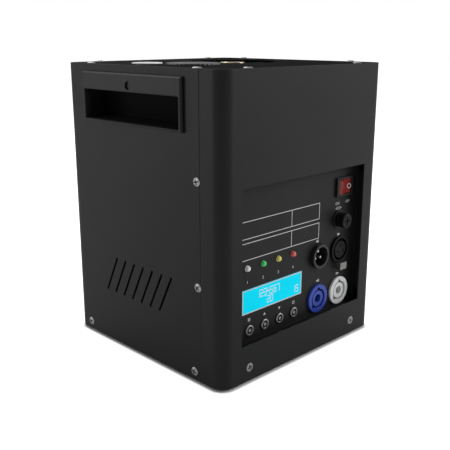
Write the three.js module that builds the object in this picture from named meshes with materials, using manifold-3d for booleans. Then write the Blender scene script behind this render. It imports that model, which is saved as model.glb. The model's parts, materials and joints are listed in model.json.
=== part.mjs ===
// Cold spark machine: a square black steel case that throws a fountain of sparks from a nozzle in its top.
// Millimetres, +Z up, control panel towards -Y. Heights are measured from the underside of the case,
// which stands on four rubber feet.
import * as THREE from "three";
import { mergeVertices } from "three/addons/utils/BufferGeometryUtils.js";
import Module from "manifold-3d";

const wasm = await Module();
wasm.setup();

// Case
const bodyWidth = 193;
const bodyHeight = 240;
const sheet = 1.5;
const cornerRadius = 11;
const gap = 0.3;
const overrun = 2;
const weld = 0.001;
const half = bodyWidth / 2;
const wallInner = half - sheet;
const liner = wallInner - gap;
const ledge = { width: 12, thickness: 1.5, cornerGap: 3 };
const ledgeTop = bodyHeight - sheet - gap;
const ledgeLow = ledgeTop - ledge.thickness;
const seam = { setback: 23.4, gap: 0.5, stepHeight: 26.4, lap: 10 };
const seamY = -half + seam.setback;
const base = { flange: 14, cornerGap: 15 };
const foot = { inset: 17, radius: 8, height: 2, stem: 3, bulb: 4.2, bulbHeight: 2.5, taper: 0.6 };
const vent = { count: 7, pitch: 11.9, width: 2.2, lean: 15.4, low: 46.9, rise: 30.5, last: 48.1 };
const rearVent = { low: 36, rise: 56, lean: 15.4 };

// Pocket handles
const handle = { front: 39.6, back: 28.4, height: 40.1, below: 6.2, proud: 3, bevel: 1.2 };
const pocket = { rim: 1.4, end: 2.6, height: 25.1, chamfer: 0.6, wall: 1.6, depth: 20, draft: 0.5 };
const lug = { radius: 3.4, depth: 1.6, fromTop: 9.1 };

// Control recess and the tray behind it
const recess = { side: 20.8, low: 30.2, height: 124.5, depth: 10.3 };
const tray = { margin: 3, lip: 2.6, thickness: 1.2 };
const recessHalf = half - recess.side;
const panelY = -half + recess.depth;
const panelBack = panelY + tray.thickness;
const bracket = { thickness: 1.2, frontFlange: 4.8, rearFlange: 9, endGap: 8 };

// Items on the tray: left or right is the distance from that side of the recess, low is the height
// above its lower edge. The display fills the width that the sockets leave, with the lamps above it and
// the buttons below it; the fuse and the switch share the height above the data outlet.
const power = { low: 10.55, right: 47.8, pitch: 29.8, flange: 12.75, proud: 2, body: 11, depth: 22 };
const inlet = {
  right: 47.7, low: 49.3, rim: 10.75, proud: 4.2, cup: 8.25,
  depth: 10.5, body: 9.4, floor: 3, rimDepth: 3,
};
const outlet = {
  right: 18.7, low: 49.3, rim: 12, proud: 2.5, groove: 9.75,
  insert: 7.75, depth: 14, body: 10.6, floor: 3,
};
const space = { left: 10.4, right: 8.75 };
const spaceWidth = 2 * recessHalf - space.left - space.right - power.flange - power.right;
const outletTop = outlet.low + outlet.rim;
const spaceHeight = recess.height - outletTop;
const lampShares = { firstShare: 0.081, pitchShare: 0.2525 };
const buttonShares = { firstShare: 0.113, pitchShare: 0.251 };
const heightShares = { fuseShare: 0.2453, rockerShare: 0.7009 };
const display = {
  left: space.left + spaceWidth / 2, low: 30.65, width: spaceWidth, height: 19.9,
  glass: 1.5, frame: 2.5, frameDepth: 8,
};
const lamp = {
  count: 4, left: space.left + spaceWidth * lampShares.firstShare, low: 58.2,
  pitch: spaceWidth * lampShares.pitchShare, radius: 2.5,
  flange: 3.3, flangeDepth: 1, proud: 2.4, leg: 2,
};
const button = {
  count: 4, left: space.left + spaceWidth * buttonShares.firstShare, low: 6.3,
  pitch: spaceWidth * buttonShares.pitchShare, ring: 4.5,
  bore: 3, proud: 1, barrel: 3.7, barrelDepth: 1.5,
};
const plunger = {
  radius: 1.6, proud: 1.3, collar: 2.7, collarDepth: 1.2,
  stem: 1.2, travel: 0.5, stemDepth: 2.5,
};
const rocker = {
  right: 15.4, low: outletTop + spaceHeight * heightShares.rockerShare, width: 17, height: 12.8,
  pivotDepth: 3.6, swing: 20, pin: 1.5, pinLength: 0.7,
};
const rockerFrame = { width: 22, height: 16.5, proud: 2, wall: 0.8, depth: 16, floor: 1.5 };
const fuse = {
  right: 20.9, low: outletTop + spaceHeight * heightShares.fuseShare, flange: 8.25, flangeDepth: 1.2,
  barrel: 6.3, depth: 26, bore: 5, floor: 2,
};
const fuseCap = { radius: 6.6, proud: 10, slot: 1.2, slotLength: 8, slotDepth: 1.2, edge: 0.8 };
const fuseLink = { radius: 2.5, length: 20, cap: 2.8, capLength: 4.5 };
const pin = { radius: 1.2, ring: 4 };
const contact = { radius: 1.3, depth: 6 };
const latch = { low: 34.8, width: 9, height: 6.5, proud: 6.5, thickness: 1.5, leg: 6, legDepth: 8 };
const powerFace = {
  groove: 8.75, core: 7.25, grooveDepth: 14, bore: 3.75,
  key: 1.6, keyWidth: 3, edge: 0.6,
};
const board = { thickness: 1.6, behind: 13, marginX: 4.5, low: -2, high: 66 };
const tact = { size: 6, depth: 3.5, nub: 1.7 };

// Top: places from the centre or the left side of the case
const top = { dishX: 19.4, dishY: 9.3, capSide: 39.5, capY: -24, tagSide: 28.5, tagY: 20 };
const capX = -half + top.capSide;
const tagX = -half + top.tagSide;
const dish = { mouth: 38, flange: 43, thickness: 1.2, depth: 24, floor: 24, throat: 13.5 };
const dishLow = ledgeTop - dish.depth - dish.thickness;
const barrel = { radius: 11, bore: 8.5, below: 0.5 };
const cap = { radius: 21.5, proud: 1.4, flutes: 36, fluteDepth: 0.5, plug: 10.7, plugDepth: 11 };
const gasket = { thickness: 1.6 };
const neck = { radius: 15.4, wall: 1.8 };
const tag = { radius: 12.5, proud: 1, plug: 9.6, edge: 0.4 };
const tagBoard = { size: 28, spacer: 3, drop: 4.5, edge: 3.5, chip: 10, chipDepth: 1.8 };

// Feed: hopper, screw and motor
const deckHeightShare = 0.475;
const deck = { z: bodyHeight * deckHeightShare, thickness: 1.5, flange: 14, fuseGap: 1 };
const feed = { rise: 26, inlet: 17.1, tube: 9, bore: 7, flange: 12, flangeDepth: 2 };
const feedZ = deck.z + feed.rise;
const screw = { flight: 6.5, shaft: 2.2, pitch: 12, width: 1.6 };
const hopper = { wallGap: 1.9, width: 40, front: -41, back: 25, topGap: 14.7, side: 32, wall: 1.8 };
const hopperTop = ledgeLow - hopper.topGap;
const hopperOutlet = { radius: 6.4, wall: 1.6, spigot: 4 };
const motor = { side: 42, length: 28, corner: 5, shaft: 2.5, boss: 11, bossDepth: 2 };
const mountPlate = { thickness: 2, foot: 14, margin: 2, gusset: 10 };

// Heating chamber
const jacket = { rise: 12, below: 9, radius: 27, bevel: 3 };
const jacketLow = feedZ + jacket.rise;
const jacketHigh = dishLow - jacket.below;
const heater = { lowCover: 6, highCover: 10, wall: 4, clamp: 6, clampWidth: 8 };
const heaterLow = jacketLow + heater.lowCover;
const heaterHigh = jacketHigh - heater.highCover;
const chamberFoot = { flange: 19, flangeDepth: 3 };

// Blower
const blower = {
  drop: 48, depth: 30, wall: 1.5, eye: 15, hub: 6,
  wheel: 24, scroll: 34, growth: 8, blades: 10, blade: 1.4,
};
const blowerZ = deck.z - blower.drop;
const blowerDuct = { halfWidth: 12, flange: 4, flangeDepth: 2 };
const blowerMotor = { radius: 16, length: 24, shaft: 2, bevel: 2 };

// Cooling fan in the rear wall
const fan = {
  side: 80, depth: 25, z: 64, bore: 38, hub: 19,
  blades: 7, rotor: 36.5, rotorDepth: 20, strut: 4, blade: 1.6,
};

// Electronics
const supply = {
  side: 6.7, width: 54, front: 44.5, back: 33,
  height: 28, edge: 4, terminal: 10, terminalHeight: 8,
};
const driver = {
  side: 6.7, width: 50, front: 50.5, back: 40.7, post: 3,
  postHeight: 6, inset: 5, sink: 22, sinkHeight: 14,
};
const sinkFin = { count: 5, thickness: 1.6, floor: 3 };
const tilt = { side: 24.7, fanGap: 16, size: 16, height: 12, can: 5 };

const quarter = Math.PI / 2;
const parts = new THREE.Group();
const body = new THREE.Group();
body.position.z = foot.height;
parts.add(body);

// A closed geometry as a solid that can be joined and cut.
function solidOf(geometry) {
  const bare = geometry.clone();
  bare.deleteAttribute("normal");
  bare.deleteAttribute("uv");
  const merged = mergeVertices(bare, weld);
  const triVerts = new Uint32Array(merged.index.array);
  const vertProperties = new Float32Array(merged.attributes.position.array);
  return new wasm.Manifold(new wasm.Mesh({ numProp: 3, vertProperties, triVerts }));
}

function geometryOf(solid) {
  const mesh = solid.getMesh();
  const geometry = new THREE.BufferGeometry();
  geometry.setAttribute("position", new THREE.BufferAttribute(new Float32Array(mesh.vertProperties), 3));
  geometry.setIndex(new THREE.BufferAttribute(new Uint32Array(mesh.triVerts), 1));
  return geometry;
}

function join(first, ...others) {
  let solid = solidOf(first);
  for (const other of others) solid = solid.add(solidOf(other));
  return geometryOf(solid);
}

function cut(first, ...tools) {
  let solid = solidOf(first);
  for (const tool of tools) solid = solid.subtract(solidOf(tool));
  return geometryOf(solid);
}

function box(x0, x1, y0, y1, z0, z1) {
  const block = new THREE.BoxGeometry(x1 - x0, y1 - y0, z1 - z0);
  return block.translate((x0 + x1) / 2, (y0 + y1) / 2, (z0 + z1) / 2);
}

// Outlines for slabs
function outline(points) {
  return new THREE.Shape(points.map(([x, y]) => new THREE.Vector2(x, y)));
}

function roundedBox(x0, x1, y0, y1, radius) {
  const shape = new THREE.Shape();
  shape.absarc(x1 - radius, y1 - radius, radius, 0, quarter);
  shape.absarc(x0 + radius, y1 - radius, radius, quarter, 2 * quarter);
  shape.absarc(x0 + radius, y0 + radius, radius, 2 * quarter, 3 * quarter);
  shape.absarc(x1 - radius, y0 + radius, radius, 3 * quarter, 4 * quarter);
  return shape;
}

function disc(x, y, radius) {
  return new THREE.Shape().absarc(x, y, radius, 0, 4 * quarter);
}

function slot(x0, y0, x1, y1, width) {
  const lean = Math.atan2(y1 - y0, x1 - x0);
  const shape = new THREE.Shape();
  shape.absarc(x1, y1, width / 2, lean - quarter, lean + quarter);
  shape.absarc(x0, y0, width / 2, lean + quarter, lean + 3 * quarter);
  return shape;
}

// Extrudes an outline drawn in the xy, xz or yz plane between two values of the third axis.
function slab(plane, shape, from, to, curveSegments = 6) {
  const geometry = new THREE.ExtrudeGeometry(shape, { depth: to - from, bevelEnabled: false, curveSegments });
  if (plane === "xy") return geometry.translate(0, 0, from);
  if (plane === "xz") return geometry.rotateX(quarter).translate(0, to, 0);
  const turn = new THREE.Matrix4().makeBasis(
    new THREE.Vector3(0, 1, 0),
    new THREE.Vector3(0, 0, 1),
    new THREE.Vector3(1, 0, 0),
  );
  return geometry.applyMatrix4(turn).translate(from, 0, 0);
}

const turns = {
  up: (geometry) => geometry.rotateX(quarter),
  front: (geometry) => geometry.rotateX(2 * quarter),
  back: (geometry) => geometry,
  right: (geometry) => geometry.rotateZ(-quarter),
};

// Revolves a profile of [radius, height] points, listed up its outside, about an axis through the origin.
function revolve(profile, sides, direction, origin) {
  const lathe = new THREE.LatheGeometry(
    profile.map(([r, h]) => new THREE.Vector2(r, h)),
    sides,
  );
  return turns[direction](lathe).translate(...origin);
}

function rod(radius, from, to, sides, direction, origin) {
  return revolve([[0, from], [radius, from], [radius, to], [0, to]], sides, direction, origin);
}

function ring(outer, inner, from, to, sides, direction, origin) {
  const profile = [[inner, from], [outer, from], [outer, to], [inner, to], [inner, from]];
  return revolve(profile, sides, direction, origin);
}

// Joins convex rings of the same number of points, each seen anticlockwise from the last one's side.
function loft(rings) {
  const count = rings[0].length;
  const positions = rings.flat(2);
  const faces = [];
  for (let level = 0; level + 1 < rings.length; level++) {
    for (let i = 0; i < count; i++) {
      const a = level * count + i;
      const b = level * count + ((i + 1) % count);
      faces.push(a, b, b + count, a, b + count, a + count);
    }
  }
  const last = (rings.length - 1) * count;
  for (let i = 1; i + 1 < count; i++) {
    faces.push(0, i + 1, i, last, last + i, last + i + 1);
  }
  const geometry = new THREE.BufferGeometry();
  geometry.setAttribute("position", new THREE.Float32BufferAttribute(positions, 3));
  geometry.setIndex(faces);
  return geometry;
}

function add(name, geometry, colour, roughness, metalness) {
  const material = new THREE.MeshStandardMaterial({ color: colour, roughness, metalness, flatShading: true });
  const mesh = new THREE.Mesh(geometry, material);
  mesh.name = name;
  body.add(mesh);
}

// Case: front shell, rear shell, base tray and inset top plate
function frontShell() {
  const inner = half - sheet;
  const bend = cornerRadius - sheet;
  const wall = new THREE.Shape();
  wall.moveTo(half, seamY);
  wall.lineTo(inner, seamY);
  wall.lineTo(inner, -inner + bend);
  wall.absarc(inner - bend, -inner + bend, bend, 0, -quarter, true);
  wall.lineTo(-inner + bend, -inner);
  wall.absarc(-inner + bend, -inner + bend, bend, -quarter, -2 * quarter, true);
  wall.lineTo(-inner, seamY);
  wall.lineTo(-half, seamY);
  wall.lineTo(-half, -half + cornerRadius);
  wall.absarc(-half + cornerRadius, -half + cornerRadius, cornerRadius, 2 * quarter, 3 * quarter);
  wall.lineTo(half - cornerRadius, -half);
  wall.absarc(half - cornerRadius, -half + cornerRadius, cornerRadius, 3 * quarter, 4 * quarter);
  let shell = slab("xy", wall, 0, bodyHeight);
  const lapTop = ledgeLow - gap;
  for (const side of [-1, 1]) {
    const outer = side * liner;
    const lapInner = side * (liner - sheet);
    const [x0, x1] = [Math.min(outer, lapInner), Math.max(outer, lapInner)];
    const joggle = [Math.min(side * half, lapInner), Math.max(side * half, lapInner)];
    shell = join(
      shell,
      box(x0, x1, seamY - sheet, seamY + seam.lap, seam.stepHeight, lapTop),
      box(...joggle, seamY - 2 * sheet, seamY - sheet, seam.stepHeight, lapTop),
    );
  }
  const ledgeEnd = half - cornerRadius - ledge.cornerGap;
  shell = join(shell, box(-ledgeEnd, ledgeEnd, -half + sheet / 2, -half + ledge.width, ledgeLow, ledgeTop));
  const windowTop = recess.low + recess.height;
  const window = box(
    -recessHalf, recessHalf, -half - overrun, -half + sheet + overrun, recess.low, windowTop,
  );
  return cut(shell, window);
}

function pocketEdges() {
  const low = bodyHeight - handle.below - handle.height + pocket.rim;
  const front = -half + handle.front + pocket.end;
  return {
    low,
    high: low + pocket.height,
    front,
    back: half - handle.back - pocket.end,
  };
}

function ventSlots(side) {
  const slots = [];
  for (let i = 0; i < vent.count; i++) {
    const y = vent.last - i * vent.pitch;
    const shape = slot(y, vent.low, y - vent.lean, vent.low + vent.rise, vent.width);
    const x = side * (half - sheet / 2);
    slots.push(slab("yz", shape, x - overrun, x + overrun, 2));
  }
  return slots;
}

function rearVentSlots() {
  const slots = [];
  const middle = (vent.count - 1) / 2;
  const high = rearVent.low + rearVent.rise;
  for (let i = 0; i < vent.count; i++) {
    const x = (i - middle) * vent.pitch;
    const shape = slot(x - rearVent.lean / 2, rearVent.low, x + rearVent.lean / 2, high, vent.width);
    slots.push(slab("xz", shape, half - sheet - overrun, half + overrun, 2));
  }
  return slots;
}

function rearShell() {
  const start = seamY + gap;
  const inner = half - sheet;
  const bend = cornerRadius - sheet;
  const wall = new THREE.Shape();
  wall.moveTo(half, start);
  wall.lineTo(half, half - cornerRadius);
  wall.absarc(half - cornerRadius, half - cornerRadius, cornerRadius, 0, quarter);
  wall.lineTo(-half + cornerRadius, half);
  wall.absarc(-half + cornerRadius, half - cornerRadius, cornerRadius, quarter, 2 * quarter);
  wall.lineTo(-half, start);
  wall.lineTo(-inner, start);
  wall.lineTo(-inner, inner - bend);
  wall.absarc(-inner + bend, inner - bend, bend, 2 * quarter, quarter, true);
  wall.lineTo(inner - bend, inner);
  wall.absarc(inner - bend, inner - bend, bend, quarter, 0, true);
  wall.lineTo(inner, start);
  let shell = slab("xy", wall, 0, bodyHeight);
  const ledgeEnd = half - cornerRadius - ledge.cornerGap;
  const ledgeStart = seamY + ledge.cornerGap;
  shell = join(
    shell,
    box(-half + sheet / 2, -half + ledge.width, ledgeStart, ledgeEnd, ledgeLow, ledgeTop),
    box(half - ledge.width, half - sheet / 2, ledgeStart, ledgeEnd, ledgeLow, ledgeTop),
    box(-ledgeEnd, ledgeEnd, half - ledge.width, half - sheet / 2, ledgeLow, ledgeTop),
  );
  const p = pocketEdges();
  const hole = pocket.wall + gap - pocket.chamfer;
  const tools = [...ventSlots(-1), ...ventSlots(1), ...rearVentSlots()];
  for (const side of [-1, 1]) {
    const x = side * (half - sheet / 2);
    const y = [p.front - hole, p.back + hole];
    tools.push(box(x - overrun, x + overrun, ...y, p.low - hole, p.high + hole));
    const y0 = start - overrun;
    tools.push(box(x - overrun, x + overrun, y0, seamY + seam.gap, seam.stepHeight, bodyHeight + overrun));
  }
  return cut(shell, ...tools);
}

function baseTray() {
  const plate = roundedBox(-liner, liner, -liner, liner, cornerRadius - sheet - gap);
  const end = liner - base.cornerGap;
  const rim = liner - sheet;
  const tray = join(
    slab("xy", plate, 0, sheet),
    box(-liner, -rim, -end, end, sheet / 2, base.flange),
    box(rim, liner, -end, end, sheet / 2, base.flange),
    box(-end, end, -liner, -rim, sheet / 2, base.flange),
    box(-end, end, rim, liner, sheet / 2, base.flange),
  );
  const holes = footPlaces().map(([x, y]) => {
    return rod(foot.stem + gap, -overrun, sheet + overrun, 10, "up", [x, y, 0]);
  });
  return cut(tray, ...holes);
}

function footPlaces() {
  const reach = half - foot.inset;
  return [[-reach, -reach], [reach, -reach], [-reach, reach], [reach, reach]];
}

// A rubber foot whose bulb snaps through the hole in the base
function footPlug(x, y) {
  const seat = sheet + gap;
  const profile = [
    [0, -foot.height],
    [foot.radius - foot.taper, -foot.height],
    [foot.radius, -gap],
    [foot.stem, -gap],
    [foot.stem, seat],
    [foot.bulb, seat],
    [foot.stem, seat + foot.bulbHeight],
    [0, seat + foot.bulbHeight],
  ];
  return revolve(profile, 10, "up", [x, y, 0]);
}

function topPlate() {
  const plate = roundedBox(-liner, liner, -liner, liner, cornerRadius - sheet - gap);
  const holes = [
    rod(dish.mouth, -overrun, sheet + overrun, 28, "up", [top.dishX, top.dishY, bodyHeight - sheet]),
    rod(neck.radius + gap, -overrun, sheet + overrun, 20, "up", [capX, top.capY, bodyHeight - sheet]),
    rod(tag.plug + gap, -overrun, sheet + overrun, 20, "up", [tagX, top.tagY, bodyHeight - sheet]),
  ];
  return cut(slab("xy", plate, bodyHeight - sheet, bodyHeight), ...holes);
}

add("front_shell", frontShell(), "#2a2a2c", 0.55, 0.3);
add("rear_shell", rearShell(), "#2a2a2c", 0.55, 0.3);
add("base_tray", baseTray(), "#242426", 0.6, 0.3);
add("top_plate", topPlate(), "#1c1c1e", 0.55, 0.3);
footPlaces().forEach(([x, y], i) => add("foot_" + (i + 1), footPlug(x, y), "#101010", 0.9, 0));

// Pocket handles: a bevelled flange outside the wall and a drafted pocket through it
function rectangle(x, y0, y1, z0, z1, side) {
  const points = [[x, y0, z0], [x, y1, z0], [x, y1, z1], [x, y0, z1]];
  return side > 0 ? points : points.reverse();
}

function handlePocket(side) {
  const back = side * (half + gap);
  const face = side * (half + handle.proud);
  const shoulder = side * (half + handle.proud - handle.bevel);
  const y0 = -half + handle.front;
  const y1 = half - handle.back;
  const z1 = bodyHeight - handle.below;
  const z0 = z1 - handle.height;
  const b = handle.bevel;
  const p = pocketEdges();
  const c = pocket.chamfer;
  const d = pocket.chamfer + pocket.draft;
  const w = pocket.wall;
  const throat = side * (half + handle.proud - c);
  const end = side * (half - pocket.depth);
  const floor = side * (half - pocket.depth - w);
  const flange = loft([
    rectangle(back, y0, y1, z0, z1, side),
    rectangle(shoulder, y0, y1, z0, z1, side),
    rectangle(face, y0 + b, y1 - b, z0 + b, z1 - b, side),
  ]);
  const cup = loft([
    rectangle(floor, p.front + d - w, p.back - d + w, p.low + d - w, p.high - d + w, side),
    rectangle(shoulder, p.front + c - w, p.back - c + w, p.low + c - w, p.high - c + w, side),
  ]);
  const hollow = loft([
    rectangle(end, p.front + d, p.back - d, p.low + d, p.high - d, side),
    rectangle(throat, p.front + c, p.back - c, p.low + c, p.high - c, side),
    rectangle(face, p.front, p.back, p.low, p.high, side),
    rectangle(face + side * c, p.front - c, p.back + c, p.low - c, p.high + c, side),
  ]);
  const hole = rod(lug.radius, 0, lug.depth + overrun, 12, "right", [0, (y0 + y1) / 2, z1 - lug.fromTop]);
  hole.translate(side < 0 ? face - overrun : face - lug.depth, 0, 0);
  return cut(join(flange, cup), hollow, hole);
}

add("left_handle", handlePocket(-1), "#1e1e20", 0.6, 0);
add("right_handle", handlePocket(1), "#1e1e20", 0.6, 0);

// Control tray: a folded sheet with lips, set back behind the window of the front shell
function panelPoint(item) {
  const x = "left" in item ? -recessHalf + item.left : recessHalf - item.right;
  return [x, recess.low + item.low];
}

function repeated(item, i) {
  const [x, z] = panelPoint(item);
  return [x + i * item.pitch, z];
}

function frontRod(radius, x, z, sides = 10) {
  return rod(radius, -overrun, tray.thickness + overrun, sides, "back", [x, panelY, z]);
}

function controlTray() {
  const x = recessHalf + tray.margin;
  const low = recess.low - tray.margin;
  const high = recess.low + recess.height + tray.margin;
  const t = tray.thickness;
  const outer = box(-x - t, x + t, panelY - tray.lip, panelBack, low - t, high + t);
  const hollow = box(-x, x, panelY - tray.lip - overrun, panelY, low, high);
  const [screenX, screenZ] = panelPoint(display);
  const w = display.width / 2 + gap;
  const h = display.height / 2 + gap;
  const y = [panelY - overrun, panelBack + overrun];
  const tools = [hollow, box(screenX - w, screenX + w, ...y, screenZ - h, screenZ + h)];
  for (let i = 0; i < lamp.count; i++) tools.push(frontRod(lamp.radius + gap, ...repeated(lamp, i)));
  for (let i = 0; i < button.count; i++) tools.push(frontRod(button.barrel + gap, ...repeated(button, i)));
  const frame = rockerFrameBody();
  const [rx, rz] = panelPoint(rocker);
  const rw = frame.halfWidth + gap;
  const rh = frame.halfHeight + gap;
  tools.push(box(rx - rw, rx + rw, ...y, rz - rh, rz + rh));
  tools.push(frontRod(fuse.barrel + gap, ...panelPoint(fuse), 16));
  tools.push(frontRod(inlet.body + gap, ...panelPoint(inlet), 20));
  tools.push(frontRod(outlet.body + gap, ...panelPoint(outlet), 20));
  for (const i of [0, 1]) tools.push(frontRod(power.body + gap, ...repeated(power, i), 20));
  const leg = latchLeg(gap);
  tools.push(box(leg.x0, leg.x1, ...y, leg.z0, leg.z1));
  return cut(outer, ...tools);
}

function latchLeg(clearance) {
  const z = recess.low + latch.low - latch.height / 2;
  const [x] = panelPoint(outlet);
  return {
    x0: x - latch.leg / 2 - clearance,
    x1: x + latch.leg / 2 + clearance,
    z0: z - clearance,
    z1: z + latch.thickness + clearance,
  };
}

// Z-shaped strips that hold the tray to the back of the front wall
function trayBracket(side) {
  const t = bracket.thickness;
  const web = recessHalf + tray.margin + tray.thickness + gap;
  const front = -half + sheet + gap;
  const back = panelBack + gap;
  const points = [
    [web, front],
    [web + bracket.frontFlange, front],
    [web + bracket.frontFlange, front + t],
    [web + t, front + t],
    [web + t, back + t],
    [web - bracket.rearFlange, back + t],
    [web - bracket.rearFlange, back],
    [web, back],
  ];
  const placed = points.map(([x, y]) => [side * x, y]);
  const shape = outline(side > 0 ? placed : placed.reverse());
  const low = recess.low + bracket.endGap;
  return slab("xy", shape, low, recess.low + recess.height - bracket.endGap);
}

add("control_tray", controlTray(), "#2e2e30", 0.55, 0.2);
add("tray_bracket_left", trayBracket(-1), "#8a8c90", 0.45, 0.8);
add("tray_bracket_right", trayBracket(1), "#8a8c90", 0.45, 0.8);

// Display: glass in the tray's window, module with its metal frame behind it
function displayWindow() {
  const [x, z] = panelPoint(display);
  const w = display.width / 2;
  const h = display.height / 2;
  return box(x - w, x + w, panelBack - display.glass, panelBack, z - h, z + h);
}

function displayModule() {
  const [x, z] = panelPoint(display);
  const w = display.width / 2 + display.frame;
  const h = display.height / 2 + display.frame;
  const front = panelBack + gap;
  const back = front + display.frameDepth;
  const boardEnd = boardFace() - gap;
  const frame = box(x - w, x + w, front, back, z - h, z + h);
  const carrier = box(x - w, x + w, back - gap, boardEnd, z - h + display.frame, z + h - display.frame);
  return join(frame, carrier);
}

function boardFace() {
  return panelBack + board.behind;
}

// A lamp stands on two legs on the control board and its dome looks through the tray
function statusLamp(i) {
  const [x, z] = repeated(lamp, i);
  const seat = panelBack + gap;
  const leg = boardFace() - gap - panelY;
  const flange = seat - panelY;
  const dome = lamp.radius;
  const profile = [
    [0, -leg],
    [lamp.leg, -leg],
    [lamp.leg, -flange - lamp.flangeDepth],
    [lamp.flange, -flange - lamp.flangeDepth],
    [lamp.flange, -flange],
    [dome, -flange],
    [dome, lamp.proud - dome / 2],
    [dome * Math.cos(quarter / 3), lamp.proud - dome / 2 + (dome / 2) * Math.sin(quarter / 3)],
    [dome * Math.cos((2 * quarter) / 3), lamp.proud - dome / 2 + (dome / 2) * Math.sin((2 * quarter) / 3)],
    [0, lamp.proud],
  ];
  return revolve(profile, 8, "front", [x, panelY, z]);
}

function buttonRing(i) {
  const [x, z] = repeated(button, i);
  const rim = gap + button.proud;
  const end = tray.thickness + button.barrelDepth;
  const profile = [
    [button.bore, -end],
    [button.barrel, -end],
    [button.barrel, gap],
    [button.ring, gap],
    [button.ring, rim - button.proud / 3],
    [button.ring - button.proud / 3, rim],
    [button.bore, rim],
    [button.bore, -end],
  ];
  return revolve(profile, 10, "front", [x, panelY, z]);
}

function buttonPlunger(i) {
  const [x, z] = repeated(button, i);
  const collar = tray.thickness + button.barrelDepth + gap;
  const end = collar + plunger.collarDepth;
  const profile = [
    [0, -end - plunger.stemDepth],
    [plunger.stem, -end - plunger.stemDepth],
    [plunger.stem, -end],
    [plunger.collar + gap, -end],
    [plunger.collar + gap, -collar],
    [plunger.radius, -collar],
    [plunger.radius, plunger.proud],
    [0, plunger.proud],
  ];
  return revolve(profile, 10, "front", [x, panelY, z]);
}

// Control board with one switch behind each button
function controlBoard() {
  const face = boardFace();
  const [middle] = panelPoint(display);
  const left = middle - display.width / 2 - board.marginX;
  const right = middle + display.width / 2 + board.marginX;
  const low = recess.low + board.low;
  const ringEnd = panelY + tray.thickness + button.barrelDepth;
  const plungerEnd = ringEnd + gap + plunger.collarDepth + plunger.stemDepth;
  const nubFace = plungerEnd + plunger.travel + gap;
  const solids = [];
  for (let i = 0; i < button.count; i++) {
    const [x, z] = repeated(button, i);
    const h = tact.size / 2;
    solids.push(box(x - h, x + h, face - tact.depth, face + board.thickness / 2, z - h, z + h));
    solids.push(rod(tact.nub, nubFace, face, 10, "back", [x, 0, z]));
  }
  const plate = box(left, right, face, face + board.thickness, low, recess.low + board.high);
  return join(plate, ...solids);
}

add("display_window", displayWindow(), "#2fc8ec", 0.15, 0);
add("display_module", displayModule(), "#b8bcc0", 0.4, 0.6);
const lampColours = ["#e8e8e8", "#3fae4a", "#e8c832", "#d83a34"];
for (let i = 0; i < lamp.count; i++) {
  add("status_lamp_" + (i + 1), statusLamp(i), lampColours[i % lampColours.length], 0.25, 0);
}
for (let i = 0; i < button.count; i++) {
  add("button_ring_" + (i + 1), buttonRing(i), "#a8aaac", 0.3, 0.8);
  add("button_" + (i + 1), buttonPlunger(i), "#c8c8c8", 0.35, 0.6);
}
add("control_board", controlBoard(), "#1f5a34", 0.6, 0);

// Power switch: a V-faced rocker on two pins in its snap-in frame
function rockerRadius() {
  return Math.hypot(rocker.width / 2, rocker.pivotDepth);
}

function rockerFrameBody() {
  const cavity = rockerRadius() + gap;
  return {
    cavity,
    halfWidth: cavity + rockerFrame.wall,
    halfHeight: rocker.height / 2 + gap + rockerFrame.wall,
  };
}

function rockerPivotY() {
  return panelY - gap - rockerFrame.proud / 2 + rocker.pivotDepth;
}

function rockerHousing() {
  const [x, z] = panelPoint(rocker);
  const frame = rockerFrameBody();
  const y = rockerPivotY();
  const bezelBack = panelY - gap;
  const bezelFront = bezelBack - rockerFrame.proud;
  const back = panelY + rockerFrame.depth;
  const bw = rockerFrame.width / 2;
  const bh = rockerFrame.height / 2;
  const mouth = rocker.width / 2 + gap;
  const slotHalf = rocker.height / 2 + gap;
  const fw = frame.halfWidth;
  const fh = frame.halfHeight;
  const fc = frame.cavity;
  const cavityFront = y - rocker.pivotDepth;
  const solid = join(
    box(x - bw, x + bw, bezelFront, bezelBack, z - bh, z + bh),
    box(x - fw, x + fw, bezelFront + gap, back, z - fh, z + fh),
  );
  return cut(
    solid,
    box(x - mouth, x + mouth, bezelFront - overrun, y, z - slotHalf, z + slotHalf),
    box(x - fc, x + fc, cavityFront, back - rockerFrame.floor, z - slotHalf, z + slotHalf),
    rod(rocker.pin + gap, -frame.halfHeight, frame.halfHeight, 12, "up", [x, y, z]),
  );
}

function rockerPaddle() {
  const [x, z] = panelPoint(rocker);
  const radius = rockerRadius();
  const tilt = THREE.MathUtils.degToRad(rocker.swing / 2);
  const rise = Math.atan2(rocker.pivotDepth, rocker.width / 2) + tilt;
  const shape = new THREE.Shape();
  shape.moveTo(0, rocker.pivotDepth);
  shape.lineTo(-radius * Math.cos(rise), radius * Math.sin(rise));
  shape.absarc(0, 0, radius, 2 * quarter - rise, 2 * quarter, false);
  shape.lineTo(0, -rocker.pivotDepth);
  shape.lineTo(radius, 0);
  shape.absarc(0, 0, radius, 0, rise, false);
  const half = rocker.height / 2;
  const paddle = slab("xy", shape, -half, half);
  const reach = half + rocker.pinLength;
  const solid = join(paddle, rod(rocker.pin, -reach, reach, 10, "up", [0, 0, 0]));
  return solid.rotateZ(2 * quarter + tilt).translate(x, rockerPivotY(), z);
}

add("rocker_housing", rockerHousing(), "#1a1a1c", 0.5, 0);
add("power_rocker", rockerPaddle(), "#a81c18", 0.35, 0);

// Fuse holder with a cap that turns and draws the fuse out
function fuseHolder() {
  const [x, z] = panelPoint(fuse);
  const depth = fuse.depth;
  const profile = [
    [0, -depth],
    [fuse.barrel, -depth],
    [fuse.barrel, gap],
    [fuse.flange, gap],
    [fuse.flange, gap + fuse.flangeDepth],
    [fuse.bore, gap + fuse.flangeDepth],
    [fuse.bore, fuse.floor - depth],
    [0, fuse.floor - depth],
  ];
  return revolve(profile, 16, "front", [x, panelY, z]);
}

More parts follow.
